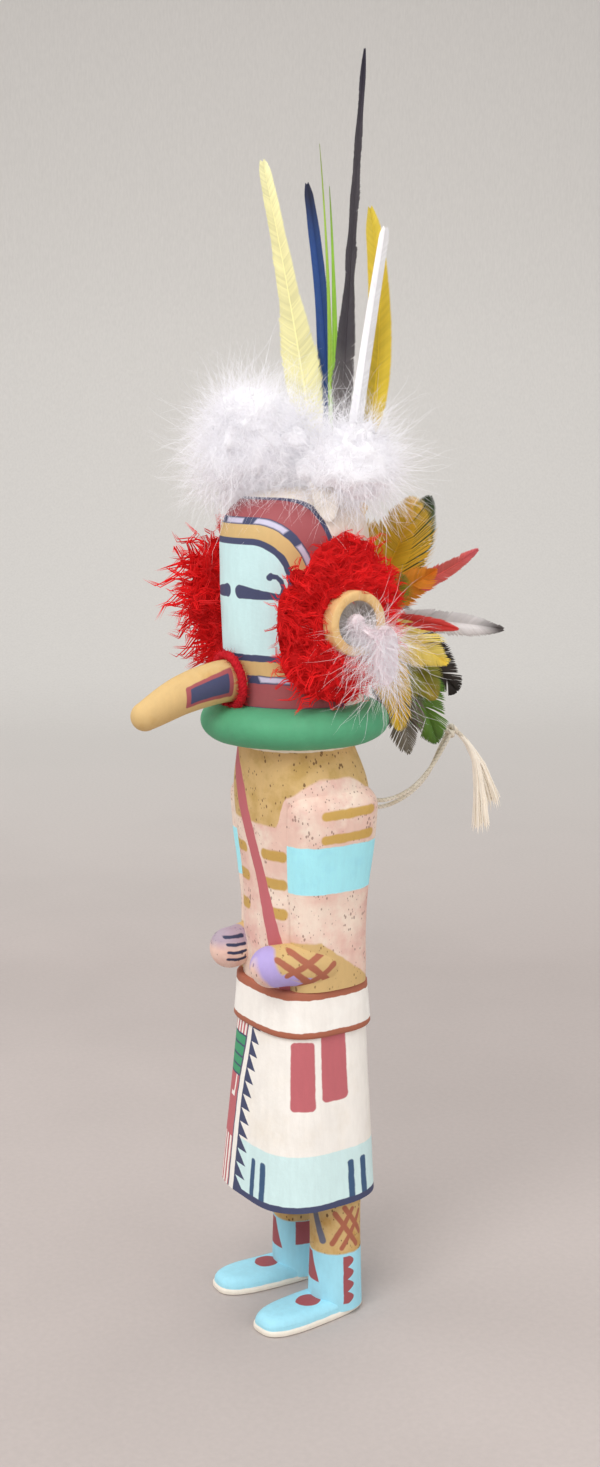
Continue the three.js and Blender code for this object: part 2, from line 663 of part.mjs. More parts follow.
// All the pieces, each in its own named mesh.
function doll() {
  const group = new THREE.Group();
  const ear = leftEar();
  const earDown = leftEarDown();
  const wool = leftWool();
  const strands = Object.entries(STRANDS).map(([name, route]) => [
    name,
    strand(route, STRING_DIAMETER / 2),
    COLOURS.cream,
  ]);
  const pieces = [
    ["figure", figure(), COLOURS.wood],
    ["snout", snout().subtract(headCutter), COLOURS.ochre],
    ["snout_ring", snoutRing(), COLOURS.red],
    ["ear_left", ear, COLOURS.earWood],
    ["ear_right", mirrored(ear), COLOURS.earWood],
    ["ear_down_left", earDown, COLOURS.white],
    ["ear_down_right", mirrored(earDown), COLOURS.white],
    ["wool_left", wool, COLOURS.red],
    ["wool_right", mirrored(wool), COLOURS.red],
    ...crownDown(plumes(CLEARANCE).map(([, piece]) => piece)),
    ...plumes(),
    ...bunch(),
    ...strands,
    ["string_knot", stringKnot(), COLOURS.cream],
  ];
  const loose = ["string_left", "string_right", "string_knot"];
  const box = new THREE.Box3();
  for (const [name, piece] of pieces) {
    if (loose.includes(name)) continue;
    const { min, max } = piece.boundingBox();
    box.expandByPoint(at(...min)).expandByPoint(at(...max));
  }
  const middle = box.getCenter(at(0, 0, 0));
  for (const [name, piece, colour] of pieces) {
    const placed = piece.translate([-middle.x, -middle.y, -box.min.z]);
    const { numProp, vertProperties, triVerts } = placed.getMesh();
    const geometry = new THREE.BufferGeometry();
    const points = new THREE.InterleavedBuffer(vertProperties, numProp);
    geometry.setAttribute("position", new THREE.InterleavedBufferAttribute(points, 3, 0));
    geometry.setIndex(new THREE.BufferAttribute(triVerts, 1));
    geometry.computeVertexNormals();
    const material = new THREE.MeshStandardMaterial({ color: colour, roughness: 0.8, metalness: 0 });
    const mesh = new THREE.Mesh(geometry, material);
    mesh.name = name;
    group.add(mesh);
  }
  return group;
}

export default doll();
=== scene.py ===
"""The kachina doll as it looks: painted cottonwood, dyed wool, down, feathers and cotton twine."""

from collections import namedtuple
import json
import math
import random

import bmesh
import bpy
from mathutils import Matrix, Vector, noise

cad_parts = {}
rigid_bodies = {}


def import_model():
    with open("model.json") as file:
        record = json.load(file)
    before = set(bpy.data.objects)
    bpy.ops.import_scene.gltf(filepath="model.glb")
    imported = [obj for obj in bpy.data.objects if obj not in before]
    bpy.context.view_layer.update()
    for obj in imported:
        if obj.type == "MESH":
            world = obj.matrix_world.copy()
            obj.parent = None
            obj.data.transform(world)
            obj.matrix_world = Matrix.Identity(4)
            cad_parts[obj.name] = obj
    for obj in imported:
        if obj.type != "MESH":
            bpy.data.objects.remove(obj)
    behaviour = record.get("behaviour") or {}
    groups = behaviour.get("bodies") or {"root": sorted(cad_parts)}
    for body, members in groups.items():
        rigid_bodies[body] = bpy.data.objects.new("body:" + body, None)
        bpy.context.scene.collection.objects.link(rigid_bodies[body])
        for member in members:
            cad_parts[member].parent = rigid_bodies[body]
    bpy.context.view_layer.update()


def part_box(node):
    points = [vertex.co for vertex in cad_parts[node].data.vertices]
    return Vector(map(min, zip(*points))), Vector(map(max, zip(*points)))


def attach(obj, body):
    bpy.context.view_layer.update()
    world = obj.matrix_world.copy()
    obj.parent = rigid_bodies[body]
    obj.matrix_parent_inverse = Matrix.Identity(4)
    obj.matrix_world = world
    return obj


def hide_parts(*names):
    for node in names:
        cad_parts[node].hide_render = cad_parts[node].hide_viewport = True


bl_info = {
    "name": "Kachina doll",
    "version": (1, 0, 0),
    "blender": (4, 5, 0),
    "location": "View3D > Sidebar > Kachina Doll",
    "description": "Builds the painted doll with its wool, down, feathers and string",
    "category": "Object",
}

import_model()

# Heights and sizes in millimetres, measured from the doll's own upright axis.
SOLE = 2.1
HEM = 44.5
BELT_BOTTOM = 107.8
WAIST = 108.8
TORSO_BOTTOM = 116.3
BELT_TOP = 124.8
SHOULDER = 189.3
RUFF_BOTTOM = 211.3
RUFF_TOP = 225.8
EAR_Z = 255.8
DOME_BOTTOM = 279.8
DOME_HEIGHT = 20.0
HEAD_TOP = DOME_BOTTOM + DOME_HEIGHT
MASK_RADIUS = 26.0
MASK_Y = -1.0
EAR_RADIUS = 11.0
LEG_X = 15.0
LEFT_LEG_BACK = 6.8
RIGHT_LEG_BACK = 10.0
BUNCH_ROOT = Vector((0, 21.5, 253.8))

EAR_LOW, EAR_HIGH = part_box("ear_left")
AXIS_Y = (EAR_LOW.y + EAR_HIGH.y) / 2 - MASK_Y * 0.001

# Tones that soften, wear or line the paint, as screen colours.
TONES = {
    "floor_grey": "BEB5B2", "floor_shade": "AEA6A3", "wall_light": "E6E4E1", "wall_top_shade": "D6D3D0",
    "room_light": "E6E4E2", "cotton_white": "FDF5E8", "cotton_shade": "CDBB98", "bare_head": "EFE4D6",
    "bare_light": "FBF4EA", "lilac_dash": "CFCBE3", "green_fleck": "3E6E58", "ruff_edge": "F1EADB",
    "skin_light": "F4E2D2", "skin_rose": "DDA79F", "body_bar": "C9A24F", "arm_shadow": "A9776A",
    "skin_fleck": "6E463D", "cape_shade": "BC9A55", "cape_fleck": "6B4A2C", "neck_edge": "F4EEDD",
    "arm_bar": "CDA652", "shoulder_shade": "B5904A", "cuff_fleck": "7A5A2E", "armband": "ADF3FF",
    "armband_shade": "A2E8FA", "fist_fleck": "5C3B36", "fist_shade": "9686A6", "finger_line": "353A57",
    "belt_light": "FFFDF8", "kilt_light": "FBF7F0", "kilt_shade": "EDE3D3", "hem_stroke": "3E5C80",
    "panel_green": "469F72", "knee_shade": "C08E3C", "knee_fleck": "5E3D22", "knee_line": "6E6F80",
    "sole_cream": "EFE7DA", "snout_shade": "C79A4E", "ear_wood": "E3BD82", "ear_light": "EFCB8E",
    "ear_grain": "C79049", "cup_grey": "C9C2BA", "cup_shade": "8F877F",
}


def hex_colour(code):
    """The linear colour of a six-figure screen colour."""
    values = [int(code[i:i + 2], 16) / 255 for i in (0, 2, 4)]
    return tuple(v / 12.92 if v <= 0.04045 else ((v + 0.055) / 1.055) ** 2.4 for v in values)


def tone(name):
    return hex_colour(TONES[name])


def place(point):
    """A point in millimetres from the doll's axis, as metres in the frame."""
    return Vector((point[0] * 0.001, point[1] * 0.001 + AXIS_Y, point[2] * 0.001))


def smoothstep(value, low, high):
    """Nought below low, one above high and an even curve between."""
    t = min(1.0, max(0.0, (value - low) / (high - low)))
    return t * t * (3 - 2 * t)


def lerp(a, b, t):
    return a + (b - a) * t


def circle(count):
    """Even turns round a full circle, in radians."""
    return [2 * math.pi * step / count for step in range(count)]


def rim(centre, side, other, turn, radius):
    """The point at a turn on the circle round centre."""
    return centre + (side * math.cos(turn) + other * math.sin(turn)) * radius


def square_to(heading, side):
    """The direction nearest to side that is square to heading, and the third direction."""
    side = (side - heading * side.dot(heading)).normalized()
    return side, heading.cross(side)


def ring(centre, across, along, power=2.0, count=96):
    """Points round centre on a rounded square with the half axes across and along."""
    points = []
    for turn in circle(count):
        cosine = math.cos(turn)
        sine = math.sin(turn)
        a = math.copysign(abs(cosine) ** (2 / power), cosine)
        b = math.copysign(abs(sine) ** (2 / power), sine)
        points.append(centre + across * a + along * b)
    return points


def level(x, y, z, half_width, half_depth, power=2.0, count=96):
    """A level ring."""
    return ring(Vector((x, y, z)), Vector((half_width, 0, 0)), Vector((0, half_depth, 0)), power, count)


# Angles in degrees above which an edge of wood, or of a fibre, shows sharp.
CREASE = 38
FIBRE_CREASE = 80
VANE_CREASE = 60


class Spline:
    """A centripetal Catmull-Rom curve through points."""

    def __init__(self, points):
        self.points = [Vector(p) for p in points]

    def at(self, t):
        points = self.points
        last = len(points) - 1
        share = min(t * last, last - 1e-9)
        index = int(share)
        weight = share - index
        p1 = points[index]
        p2 = points[index + 1]
        p0 = points[index - 1] if index > 0 else p1 * 2 - p2
        p3 = points[index + 2] if index + 2 <= last else p2 * 2 - p1
        d0 = max(1e-6, math.sqrt((p0 - p1).length))
        d1 = max(1e-6, math.sqrt((p1 - p2).length))
        d2 = max(1e-6, math.sqrt((p2 - p3).length))
        start = ((p1 - p0) / d0 - (p2 - p0) / (d0 + d1) + (p2 - p1) / d1) * d1
        end = ((p2 - p1) / d1 - (p3 - p1) / (d1 + d2) + (p3 - p2) / d2) * d1
        square = weight * weight
        cube = square * weight
        return (p1 * (2 * cube - 3 * square + 1) + start * (cube - 2 * square + weight)
                + p2 * (3 * square - 2 * cube) + end * (cube - square))

    def heading(self, t):
        low = max(0.0, t - 1e-3)
        high = min(1.0, t + 1e-3)
        return (self.at(high) - self.at(low)).normalized()


class Draft:
    """Points and faces of a piece in millimetres, with marks that its material reads."""

    def __init__(self, *marks):
        self.points = []
        self.faces = []
        self.slots = []
        self.marks = {mark: [] for mark in marks}

    def add(self, points, faces, slot=0, **marks):
        start = len(self.points)
        self.points += points
        self.faces += [tuple(start + i for i in face) for face in faces]
        self.slots += [slot] * len(faces)
        for mark, values in self.marks.items():
            given = marks.get(mark, 0.0)
            values += given if isinstance(given, list) else [given] * len(points)

    def loft(self, rings, slot=0, **marks):
        """A closed skin over rings of equal count."""
        count = len(rings[0])
        points = [point for row in rings for point in row]
        faces = []
        for row in range(len(rings) - 1):
            for i in range(count):
                j = (i + 1) % count
                low = row * count
                faces.append((low + i, low + j, low + count + j, low + count + i))
        bottom = len(points)
        points += [sum(rings[0], Vector()) / count, sum(rings[-1], Vector()) / count]
        top = (len(rings) - 1) * count
        for i in range(count):
            j = (i + 1) % count
            faces.append((j, i, bottom))
            faces.append((top + i, top + j, bottom + 1))
        self.add(points, faces, slot, **marks)

    def strand(self, centres, radii, sides=3, **marks):
        """A thin closed thread that ends in a point."""
        side = Vector((0.3, 0.5, 0.81))
        turns = circle(sides)
        points = []
        faces = []
        given = {mark: [] for mark in self.marks}
        for row, (centre, radius) in enumerate(zip(centres[:-1], radii)):
            heading = (centres[row + 1] - centres[max(0, row - 1)]).normalized()
            side, other = square_to(heading, side)
            for turn in turns:
                points.append(rim(centre, side, other, turn, radius))
                for mark in given:
                    value = marks.get(mark, 0.0)
                    given[mark].append(value[row] if isinstance(value, list) else value)
        tip = len(points)
        points.append(centres[-1])
        for mark in given:
            value = marks.get(mark, 0.0)
            given[mark].append(value[-1] if isinstance(value, list) else value)
        for row in range(len(centres) - 2):
            for i in range(sides):
                j = (i + 1) % sides
                low = row * sides
                faces.append((low + i, low + j, low + sides + j, low + sides + i))
        last = (len(centres) - 2) * sides
        for i in range(sides):
            faces.append((last + i, last + (i + 1) % sides, tip))
        faces.append(tuple(range(sides))[::-1])
        self.add(points, faces, 0, **given)

    def build(self, name, materials, crease=CREASE, show=True):
        """An object of the draft, with sharp edges where faces meet at more than crease degrees."""
        mesh = bpy.data.meshes.new(name)
        mesh.from_pydata([place(point) for point in self.points], [], self.faces)
        for mark, values in self.marks.items():
            mesh.attributes.new(mark, "FLOAT", "POINT").data.foreach_set("value", values)
        for material in materials:
            mesh.materials.append(material)
        mesh.polygons.foreach_set("material_index", self.slots)
        form = bmesh.new()
        form.from_mesh(mesh)
        bmesh.ops.recalc_face_normals(form, faces=form.faces)
        form.to_mesh(mesh)
        form.free()
        mesh.shade_smooth()
        mesh.set_sharp_from_angle(angle=math.radians(crease))
        made = bpy.data.objects.new(name, mesh)
        if show:
            bpy.context.scene.collection.objects.link(made)
        return made


def settle(piece, slot, *nodes):
    """Ride the doll and stand for its nodes."""
    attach(piece, "root")
    if nodes:
        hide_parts(*nodes)
    return piece


# Depths in metres of the relief that the finishes draw, and the gloss of matt wool.
PAINT_RELIEF = 0.0004
FIBRE_RELIEF = 0.0002
MATT = 0.05


def add_node(tree, kind, inputs, **settings):
    """A node with its settings; inputs give a link or a value by name or number."""
    made = tree.nodes.new(kind)
    for key, value in settings.items():
        setattr(made, key, value)
    for key, value in inputs.items():
        socket = made.inputs[key]
        if isinstance(value, bpy.types.NodeSocket):
            tree.links.new(value, socket)
        elif isinstance(value, tuple) and len(value) == 3 and len(socket.default_value) == 4:
            socket.default_value = (*value, 1.0)
        else:
            socket.default_value = value
    return made


class Paint:
    """A painted finish: a ground colour, then shapes of colour laid over it by distance.

    u is the way round an upright axis and v the height, both in millimetres and a little unsteady.
    """

    def __init__(self, name, ground, radius=24.0, centre=(0.0, 0.0), wobble=0.5, roughness=0.62):
        self.material = bpy.data.materials.new(name)
        self.material.use_nodes = True
        self.tree = self.material.node_tree
        self.tree.nodes.clear()
        self.colour = ground
        self.roughness = roughness
        coordinates = self.tree.nodes.new("ShaderNodeTexCoord")
        self.position = coordinates.outputs["Object"]
        split = self.node("ShaderNodeSeparateXYZ", self.position)
        self.x = self.math("MULTIPLY_ADD", split.outputs[0], 1000.0, -centre[0])
        self.y = self.math("MULTIPLY_ADD", split.outputs[1], 1000.0, -AXIS_Y * 1000 - centre[1])
        self.z = self.math("MULTIPLY", split.outputs[2], 1000.0)
        waver = self.noise(260.0, 2.0)
        waves = self.node("ShaderNodeSeparateXYZ", waver.outputs["Color"])
        turn = self.math("ARCTAN2", self.x, self.math("MULTIPLY", self.y, -1.0))
        shake = self.math("MULTIPLY_ADD", waves.outputs[0], wobble * 2, -wobble)
        self.u = self.math("MULTIPLY_ADD", turn, radius, shake)
        self.turn = turn
        self.v = self.math("ADD", self.z, self.math("MULTIPLY_ADD", waves.outputs[1], wobble * 2, -wobble))
        self.radius = radius

    def arc(self, degrees):
        return math.radians(degrees) * self.radius

    def node(self, kind, *inputs, **settings):
        return add_node(self.tree, kind, dict(enumerate(inputs)), **settings)

    def math(self, kind, *inputs, clamp=False):
        return self.node("ShaderNodeMath", *inputs, operation=kind, use_clamp=clamp).outputs[0]

    def vector(self, kind, *inputs):
        return self.node("ShaderNodeVectorMath", *inputs, operation=kind).outputs[0]

    def stretched(self, stretch):
        """The object's own coordinates, stretched."""
        return add_node(self.tree, "ShaderNodeMapping",
                        {"Vector": self.position, "Scale": stretch}).outputs[0]

    def noise(self, scale, detail=2.0, stretch=None, rough=0.5):
        return add_node(self.tree, "ShaderNodeTexNoise",
                        {"Vector": self.stretched(stretch) if stretch else self.position,
                         "Scale": scale, "Detail": detail, "Roughness": rough})

    def spot(self, u=None, v=None):
        return self.node("ShaderNodeCombineXYZ", u or self.u, v or self.v, 0.0).outputs[0]

    def within(self, value, low, high):
        """How far value lies outside the span from low to high."""
        off = self.math("ABSOLUTE", self.math("SUBTRACT", value, (low + high) / 2))
        return self.math("SUBTRACT", off, (high - low) / 2)

    def box(self, low_u, high_u, low_v, high_v, u=None, v=None):
        return self.math("MAXIMUM", self.within(u or self.u, low_u, high_u),
                         self.within(v or self.v, low_v, high_v))

    def round_box(self, low_u, high_u, low_v, high_v, corner, u=None, v=None):
        """A box with rounded corners."""
        squares = []
        for value, low, high in ((u or self.u, low_u, high_u), (v or self.v, low_v, high_v)):
            off = self.math("MAXIMUM", self.math("ADD", self.within(value, low, high), corner), 0.0)
            squares.append(self.math("MULTIPLY", off, off))
        return self.math("SUBTRACT", self.math("SQRT", self.math("ADD", *squares)), corner)

    def stroke(self, start, end, half, thin=0.0, at=None):
        """Distance to a brush stroke that may thin from start to end."""
        run = Vector((end[0] - start[0], end[1] - start[1], 0))
        off = self.vector("SUBTRACT", at or self.spot(), (start[0], start[1], 0.0))
        scaled = run / run.length_squared
        dot = self.node("ShaderNodeVectorMath", off, tuple(scaled), operation="DOT_PRODUCT")
        share = self.math("ADD", dot.outputs["Value"], 0.0, clamp=True)
        near = self.vector("MULTIPLY_ADD", share, tuple(-run), off)
        length = self.node("ShaderNodeVectorMath", near, operation="LENGTH").outputs["Value"]
        if thin:
            return self.math("ADD", length, self.math("MULTIPLY_ADD", share, thin, -half))
        return self.math("SUBTRACT", length, half)

    def oval(self, centre, half_u, half_v, u=None, v=None):
        off_u = self.math("DIVIDE", self.math("SUBTRACT", u or self.u, centre[0]), half_u)
        off_v = self.math("DIVIDE", self.math("SUBTRACT", v or self.v, centre[1]), half_v)
        square = self.math("MULTIPLY_ADD", off_u, off_u, self.math("MULTIPLY", off_v, off_v))
        return self.math("MULTIPLY_ADD", self.math("SQRT", square), min(half_u, half_v), -min(half_u, half_v))

    def least(self, *shapes):
        shape = shapes[0]
        for other in shapes[1:]:
            shape = self.math("MINIMUM", shape, other)
        return shape

    def most(self, *shapes):
        shape = shapes[0]
        for other in shapes[1:]:
            shape = self.math("MAXIMUM", shape, other)
        return shape

    def mix(self, share, first, second, blend="MIX"):
        return add_node(self.tree, "ShaderNodeMix", {0: share, 6: first, 7: second},
                        data_type="RGBA", blend_type=blend).outputs[2]

    def lay(self, shape, colour, soft=0.12, strength=1.0):
        """Lay colour where the shape's distance is below nought."""
        share = self.math("MULTIPLY_ADD", shape, -0.5 / soft, 0.5, clamp=True)
        if strength < 1:
            share = self.math("MULTIPLY", share, strength)
        self.colour = self.mix(share, self.colour, colour)

    def speckle(self, colour, scale=900.0, size=0.2, strength=0.75, shape=None, stretch=(1.0, 1.0, 0.6)):
        """Small worn flecks, kept to shape where one is given."""
        flecks = add_node(self.tree, "ShaderNodeTexVoronoi",
                          {"Vector": self.stretched(stretch), "Scale": scale})
        patches = self.noise(170.0, 3.0, rough=0.65)
        wide = self.math("MULTIPLY_ADD", patches.outputs["Fac"], size * 2.6, -size * 0.95)
        off = self.math("SUBTRACT", flecks.outputs["Distance"], wide)
        if shape is not None:
            off = self.math("MAXIMUM", off, shape)
        share = self.math("MULTIPLY_ADD", off, -9.0, 0.0, clamp=True)
        self.colour = self.mix(self.math("MULTIPLY", share, strength), self.colour, colour)

    def cloud(self, colour, scale=90.0, strength=0.5, low=0.45, high=0.7, shape=None):
        """Broad soft patches of a second tone."""
        tone = self.noise(scale, 4.0, rough=0.6)
        share = self.node("ShaderNodeMapRange", tone.outputs["Fac"], low, high, 0.0, strength).outputs[0]
        if shape is not None:
            inside = self.math("MULTIPLY_ADD", shape, -1.2, 0.5, clamp=True)
            share = self.math("MULTIPLY", share, inside)
        self.colour = self.mix(share, self.colour, colour)

    def finish(self, bump=0.25, grain=0.5):
        """Brushed, slightly worn paint over wood grain."""
        brush = self.noise(420.0, 3.0, (1.0, 1.0, 0.25), 0.6).outputs["Fac"]
        shade = self.node("ShaderNodeMapRange", brush, 0.3, 0.7, 0.96, 1.03).outputs[0]
        rough = self.node("ShaderNodeMapRange", brush, 0.3, 0.7,
                          self.roughness - 0.08, self.roughness + 0.1).outputs[0]
        fibre = self.noise(1500.0, 4.0, (1.0, 1.0, 0.12), 0.7).outputs["Fac"]
        pores = self.noise(700.0, 2.0).outputs["Fac"]
        height = self.math("MULTIPLY_ADD", fibre, grain, pores)
        relief = add_node(self.tree, "ShaderNodeBump",
                          {"Strength": bump, "Distance": PAINT_RELIEF, "Height": height})
        shader = add_node(self.tree, "ShaderNodeBsdfPrincipled",
                          {"Base Color": self.mix(1.0, self.colour, shade, "MULTIPLY"), "Roughness": rough,
                           "Specular IOR Level": 0.35, "Normal": relief.outputs["Normal"]})
        add_node(self.tree, "ShaderNodeOutputMaterial", {"Surface": shader.outputs[0]})
        return self.material


def fibre_material(name, root, middle, tip, roughness=0.7, soft=0.0, glow=0.0, gloss=0.25):
    """Hair, wool or vane: colour runs from root to tip and varies from strand to strand; glow adds painted
    light.
    """
    material = bpy.data.materials.new(name)
    material.use_nodes = True
    tree = material.node_tree
    tree.nodes.clear()
    along = add_node(tree, "ShaderNodeAttribute", {}, attribute_name="along")
    shade = add_node(tree, "ShaderNodeAttribute", {}, attribute_name="shade")
    ramp = add_node(tree, "ShaderNodeValToRGB", {"Fac": along.outputs["Fac"]})
    stops = ramp.color_ramp.elements
    stops[0].color = (*root, 1)
    stops[0].position = 0.12
    stops[1].color = (*tip, 1)
    stops[1].position = 0.95
    for position in (0.38, 0.8):
        stops.new(position).color = (*middle, 1)
    # White fibres with a painted glow vary less from strand to strand than dyed ones.
    darkest, lightest = (0.95, 1.02) if glow and gloss > MATT else (0.74, 1.12)
    lightness = add_node(tree, "ShaderNodeMapRange",
                         {"Value": shade.outputs["Fac"], "To Min": darkest, "To Max": lightest})
    colour = add_node(tree, "ShaderNodeMix", {0: 1.0, 6: ramp.outputs["Color"], 7: lightness.outputs[0]},
                      data_type="RGBA", blend_type="MULTIPLY").outputs[2]
    coordinates = add_node(tree, "ShaderNodeTexCoord", {})
    fine = add_node(tree, "ShaderNodeTexNoise", {"Vector": coordinates.outputs["Object"], "Scale": 2200.0})
    relief = add_node(tree, "ShaderNodeBump",
                      {"Strength": 0.25, "Distance": FIBRE_RELIEF, "Height": fine.outputs["Fac"]})
    inputs = {"Base Color": colour, "Roughness": roughness, "Specular IOR Level": gloss,
              "Normal": relief.outputs["Normal"]}
    if glow:
        # Painted light: the fibres glow, standing in for the light that many fine fibres pass on to each
        # other.
        inputs.update({"Emission Color": colour, "Emission Strength": glow})
    if soft:
        inputs.update({"Subsurface Weight": soft, "Subsurface Radius": (1.0, 1.0, 1.0),
                       "Subsurface Scale": 0.003})
    shader = add_node(tree, "ShaderNodeBsdfPrincipled", inputs)
    add_node(tree, "ShaderNodeOutputMaterial", {"Surface": shader.outputs[0]})
    return material


def colour_property(name, code, description):
    return bpy.props.FloatVectorProperty(name=name, description=description, subtype="COLOR",
                                         size=3, min=0.0, max=1.0, default=hex_colour(code))


class DollColours(bpy.types.PropertyGroup):
    """Paint, wool and yarn colours of the doll."""

    mint: colour_property("Face mint", "CCEDF0", "Paint of the face")
    ochre: colour_property("Ochre", "D5B47B", "Bands, cape, snout and ear rims")
    navy: colour_property("Navy", "454B6C", "Eyes, outlines and hem line")
    maroon: colour_property("Maroon", "A5555A", "Outer band of the face and boot flaps")
    strap: colour_property("Strap red", "C46A71", "Strap across the chest and kilt bars")
    green: colour_property("Ruff green", "55A67B", "Ruff under the mask")
    pink: colour_property("Body pink", "EBC8BA", "Body, arms and fists")
    sky: colour_property("Sky blue", "A6E3F6", "Armbands and boots")
    violet: colour_property("Violet", "B6A5DF", "Hand and wrist paint")
    cream: colour_property("Kilt cream", "F8F4EE", "Kilt, belt and soles")
    pale: colour_property("Hem turquoise", "D6F1F2", "Border above the hem")
    rust: colour_property("Rust", "AE6850", "Belt borders and cross hatching")
    wool: colour_property("Wool red", "DE2426", "Wool at the sides of the head")
    down: colour_property("Down white", "EFEEF2", "Down on the crown and at the ears")
    twine: colour_property("Twine", "F2E9D8", "Cotton string")


class DollSizes(bpy.types.PropertyGroup):
    """Sizes of the repeated strands and of the hand finish."""

    down_length: bpy.props.FloatProperty(
        name="Down length", description="Length of the longest down strand",
        default=0.017, min=0.002, max=0.05, unit="LENGTH")
    wool_length: bpy.props.FloatProperty(
        name="Wool lock length", description="Length of the longest wool lock",
        default=0.0085, min=0.002, max=0.03, unit="LENGTH")
    carving: bpy.props.FloatProperty(
        name="Carving marks", description="Depth of the unevenness left by the knife",
        default=0.00018, min=0.0, max=0.001, unit="LENGTH")
    barb_gap: bpy.props.FloatProperty(
        name="Barb gap", description="Distance between the barbs of a feather",
        default=0.00062, min=0.0002, max=0.003, unit="LENGTH")


def colours():
    return {key: tuple(getattr(bpy.context.scene.kachina_colours, key))
            for key in DollColours.__annotations__}


def sizes():
    return bpy.context.scene.kachina_sizes


# The view of the photograph: turn to the doll's left, pitch, distance, and its height and focal
# length in pixels.
VIEW_TURN = math.radians(57)
VIEW_PITCH = math.radians(10)
VIEW_DISTANCE = 0.62
VIEW_HEIGHT = 0.213
VIEW_ASIDE = 0.00106
PHOTO_HEIGHT = 1467
PHOTO_FOCAL = 1750
SENSOR = 36

# Name, place, size and power of each soft light.
LIGHTS = (("key", (0.55, -0.95, 1.25), 0.9, 15.0), ("fill", (1.3, 0.35, 0.7), 1.1, 6.0),
          ("top", (-0.2, 0.3, 1.7), 1.4, 9.0), ("left", (-0.9, -0.9, 0.8), 0.9, 4.0))


def aim(thing, target):
    thing.rotation_euler = (Vector(target) - thing.location).to_track_quat("-Z", "Y").to_euler()


def sweep_mesh(right):
    """A floor that curves up into a wall behind the doll, seen across right."""
    bend = 0.6
    profile = [(2.2, 0.0), (0.0, 0.0), (-1.2, 0.0)]
    profile += [(-1.2 - bend * math.sin(a), bend - bend * math.cos(a))
                for a in [math.radians(10 * i) for i in range(1, 10)]]
    profile += [(-1.8, 2.6)]
    back = Vector((-math.sin(VIEW_TURN), math.cos(VIEW_TURN), 0))
    form = bmesh.new()
    rows = [[form.verts.new(back * -out + right * side + Vector((0, 0, height))) for side in (-3.0, 3.0)]
            for out, height in profile]
    for low, high in zip(rows, rows[1:]):
        form.faces.new((low[0], low[1], high[1], high[0]))
    mesh = bpy.data.meshes.new("floor")
    form.to_mesh(mesh)
    form.free()
    mesh.shade_smooth()
    return mesh


def stage_paint():
    """Warm grey floor that turns lighter up the wall behind, with painted shade that darkens the wall towards
    its top.
    """
    pale = Paint("floor_pale", tone("floor_grey"), roughness=0.85)
    pale.cloud(tone("floor_shade"), 3.0, 0.5)
    behind = pale.math("MULTIPLY_ADD", pale.x, -math.sin(VIEW_TURN),
                       pale.math("MULTIPLY", pale.y, math.cos(VIEW_TURN)))
    pale.lay(pale.math("SUBTRACT", 900.0, behind), tone("wall_light"), 500.0)
    # Painted shade: the wall darkens towards its top.
    pale.lay(pale.math("SUBTRACT", 750.0, pale.z), tone("wall_top_shade"), 350.0)
    return pale.finish(0.05, 0.1)


class KACHINA_OT_stage(bpy.types.Operator):
    """Camera, pale floor and soft studio light"""

    bl_idname = "kachina.stage"
    bl_label = "Camera and stage"

    def execute(self, context):
        scene = context.scene
        flat = math.cos(VIEW_PITCH)
        ahead = Vector((-math.sin(VIEW_TURN) * flat, math.cos(VIEW_TURN) * flat, -math.sin(VIEW_PITCH)))
        right = Vector((math.cos(VIEW_TURN), math.sin(VIEW_TURN), 0))
        camera = bpy.data.objects.new("camera", bpy.data.cameras.new("camera"))
        camera.data.lens = PHOTO_FOCAL * SENSOR / PHOTO_HEIGHT
        camera.data.sensor_width = SENSOR
        camera.data.clip_end = 20
        scene.collection.objects.link(camera)
        target = Vector((0, AXIS_Y, VIEW_HEIGHT)) + right * VIEW_ASIDE
        camera.location = target - ahead * VIEW_DISTANCE
        aim(camera, target)
        scene.camera = camera

        floor = bpy.data.objects.new("floor", sweep_mesh(right))
        scene.collection.objects.link(floor)
        floor.data.materials.append(stage_paint())

        for name, spot, size, power in LIGHTS:
            lamp = bpy.data.lights.new(name, "AREA")
            lamp.size = size
            lamp.energy = power
            lamp.color = (1.0, 0.985, 0.965)
            thing = bpy.data.objects.new(name, lamp)
            thing.location = spot
            scene.collection.objects.link(thing)
            aim(thing, (0, 0, 0.2))
        scene.view_settings.view_transform = "Standard"
        world = bpy.data.worlds.new("studio")
        world.use_nodes = True
        light = world.node_tree.nodes["Background"]
        light.inputs[0].default_value = (*tone("room_light"), 1)
        light.inputs[1].default_value = 0.55
        scene.world = world
        return {"FINISHED"}


KNOT = Vector((1.5, 68, 207.8))
LEFT_ROUTE = [(2.5, 20.5, 186.8), (2.5, 25.5, 186.8), (4, 36, 185.5), (3.8, 47, 188), (2.8, 57, 194.5),
              KNOT + Vector((0.95, -3.5, -4.5)), KNOT + Vector((0.95, 0, 0)), KNOT + Vector((0.95, 4, -2)),
              (4, 77, 198), (3.6, 80, 185), (3.2, 81.5, 171)]
RIGHT_ROUTE = [(-2.5, 20.5, 186.8), (-2.5, 25.5, 185.8), (-0.5, 36, 182), (1.2, 47, 185), (0.6, 57, 191.5),
               KNOT + Vector((-0.95, -3.5, -4.5)), KNOT + Vector((-0.95, 0, 0)),
               KNOT + Vector((-0.95, 4, -1.5)), (-1, 79, 200), (-1.6, 86, 190), (-2, 91, 178)]


# Radius of the twine and the length in which its plies go once round, then the radius of the knot's
# twine and the turn of its plies from ring to ring.
TWINE_RADIUS = 0.78
PLY_PITCH = 3.4
KNOT_RADIUS = 0.85
KNOT_PLY_TURN = 0.35


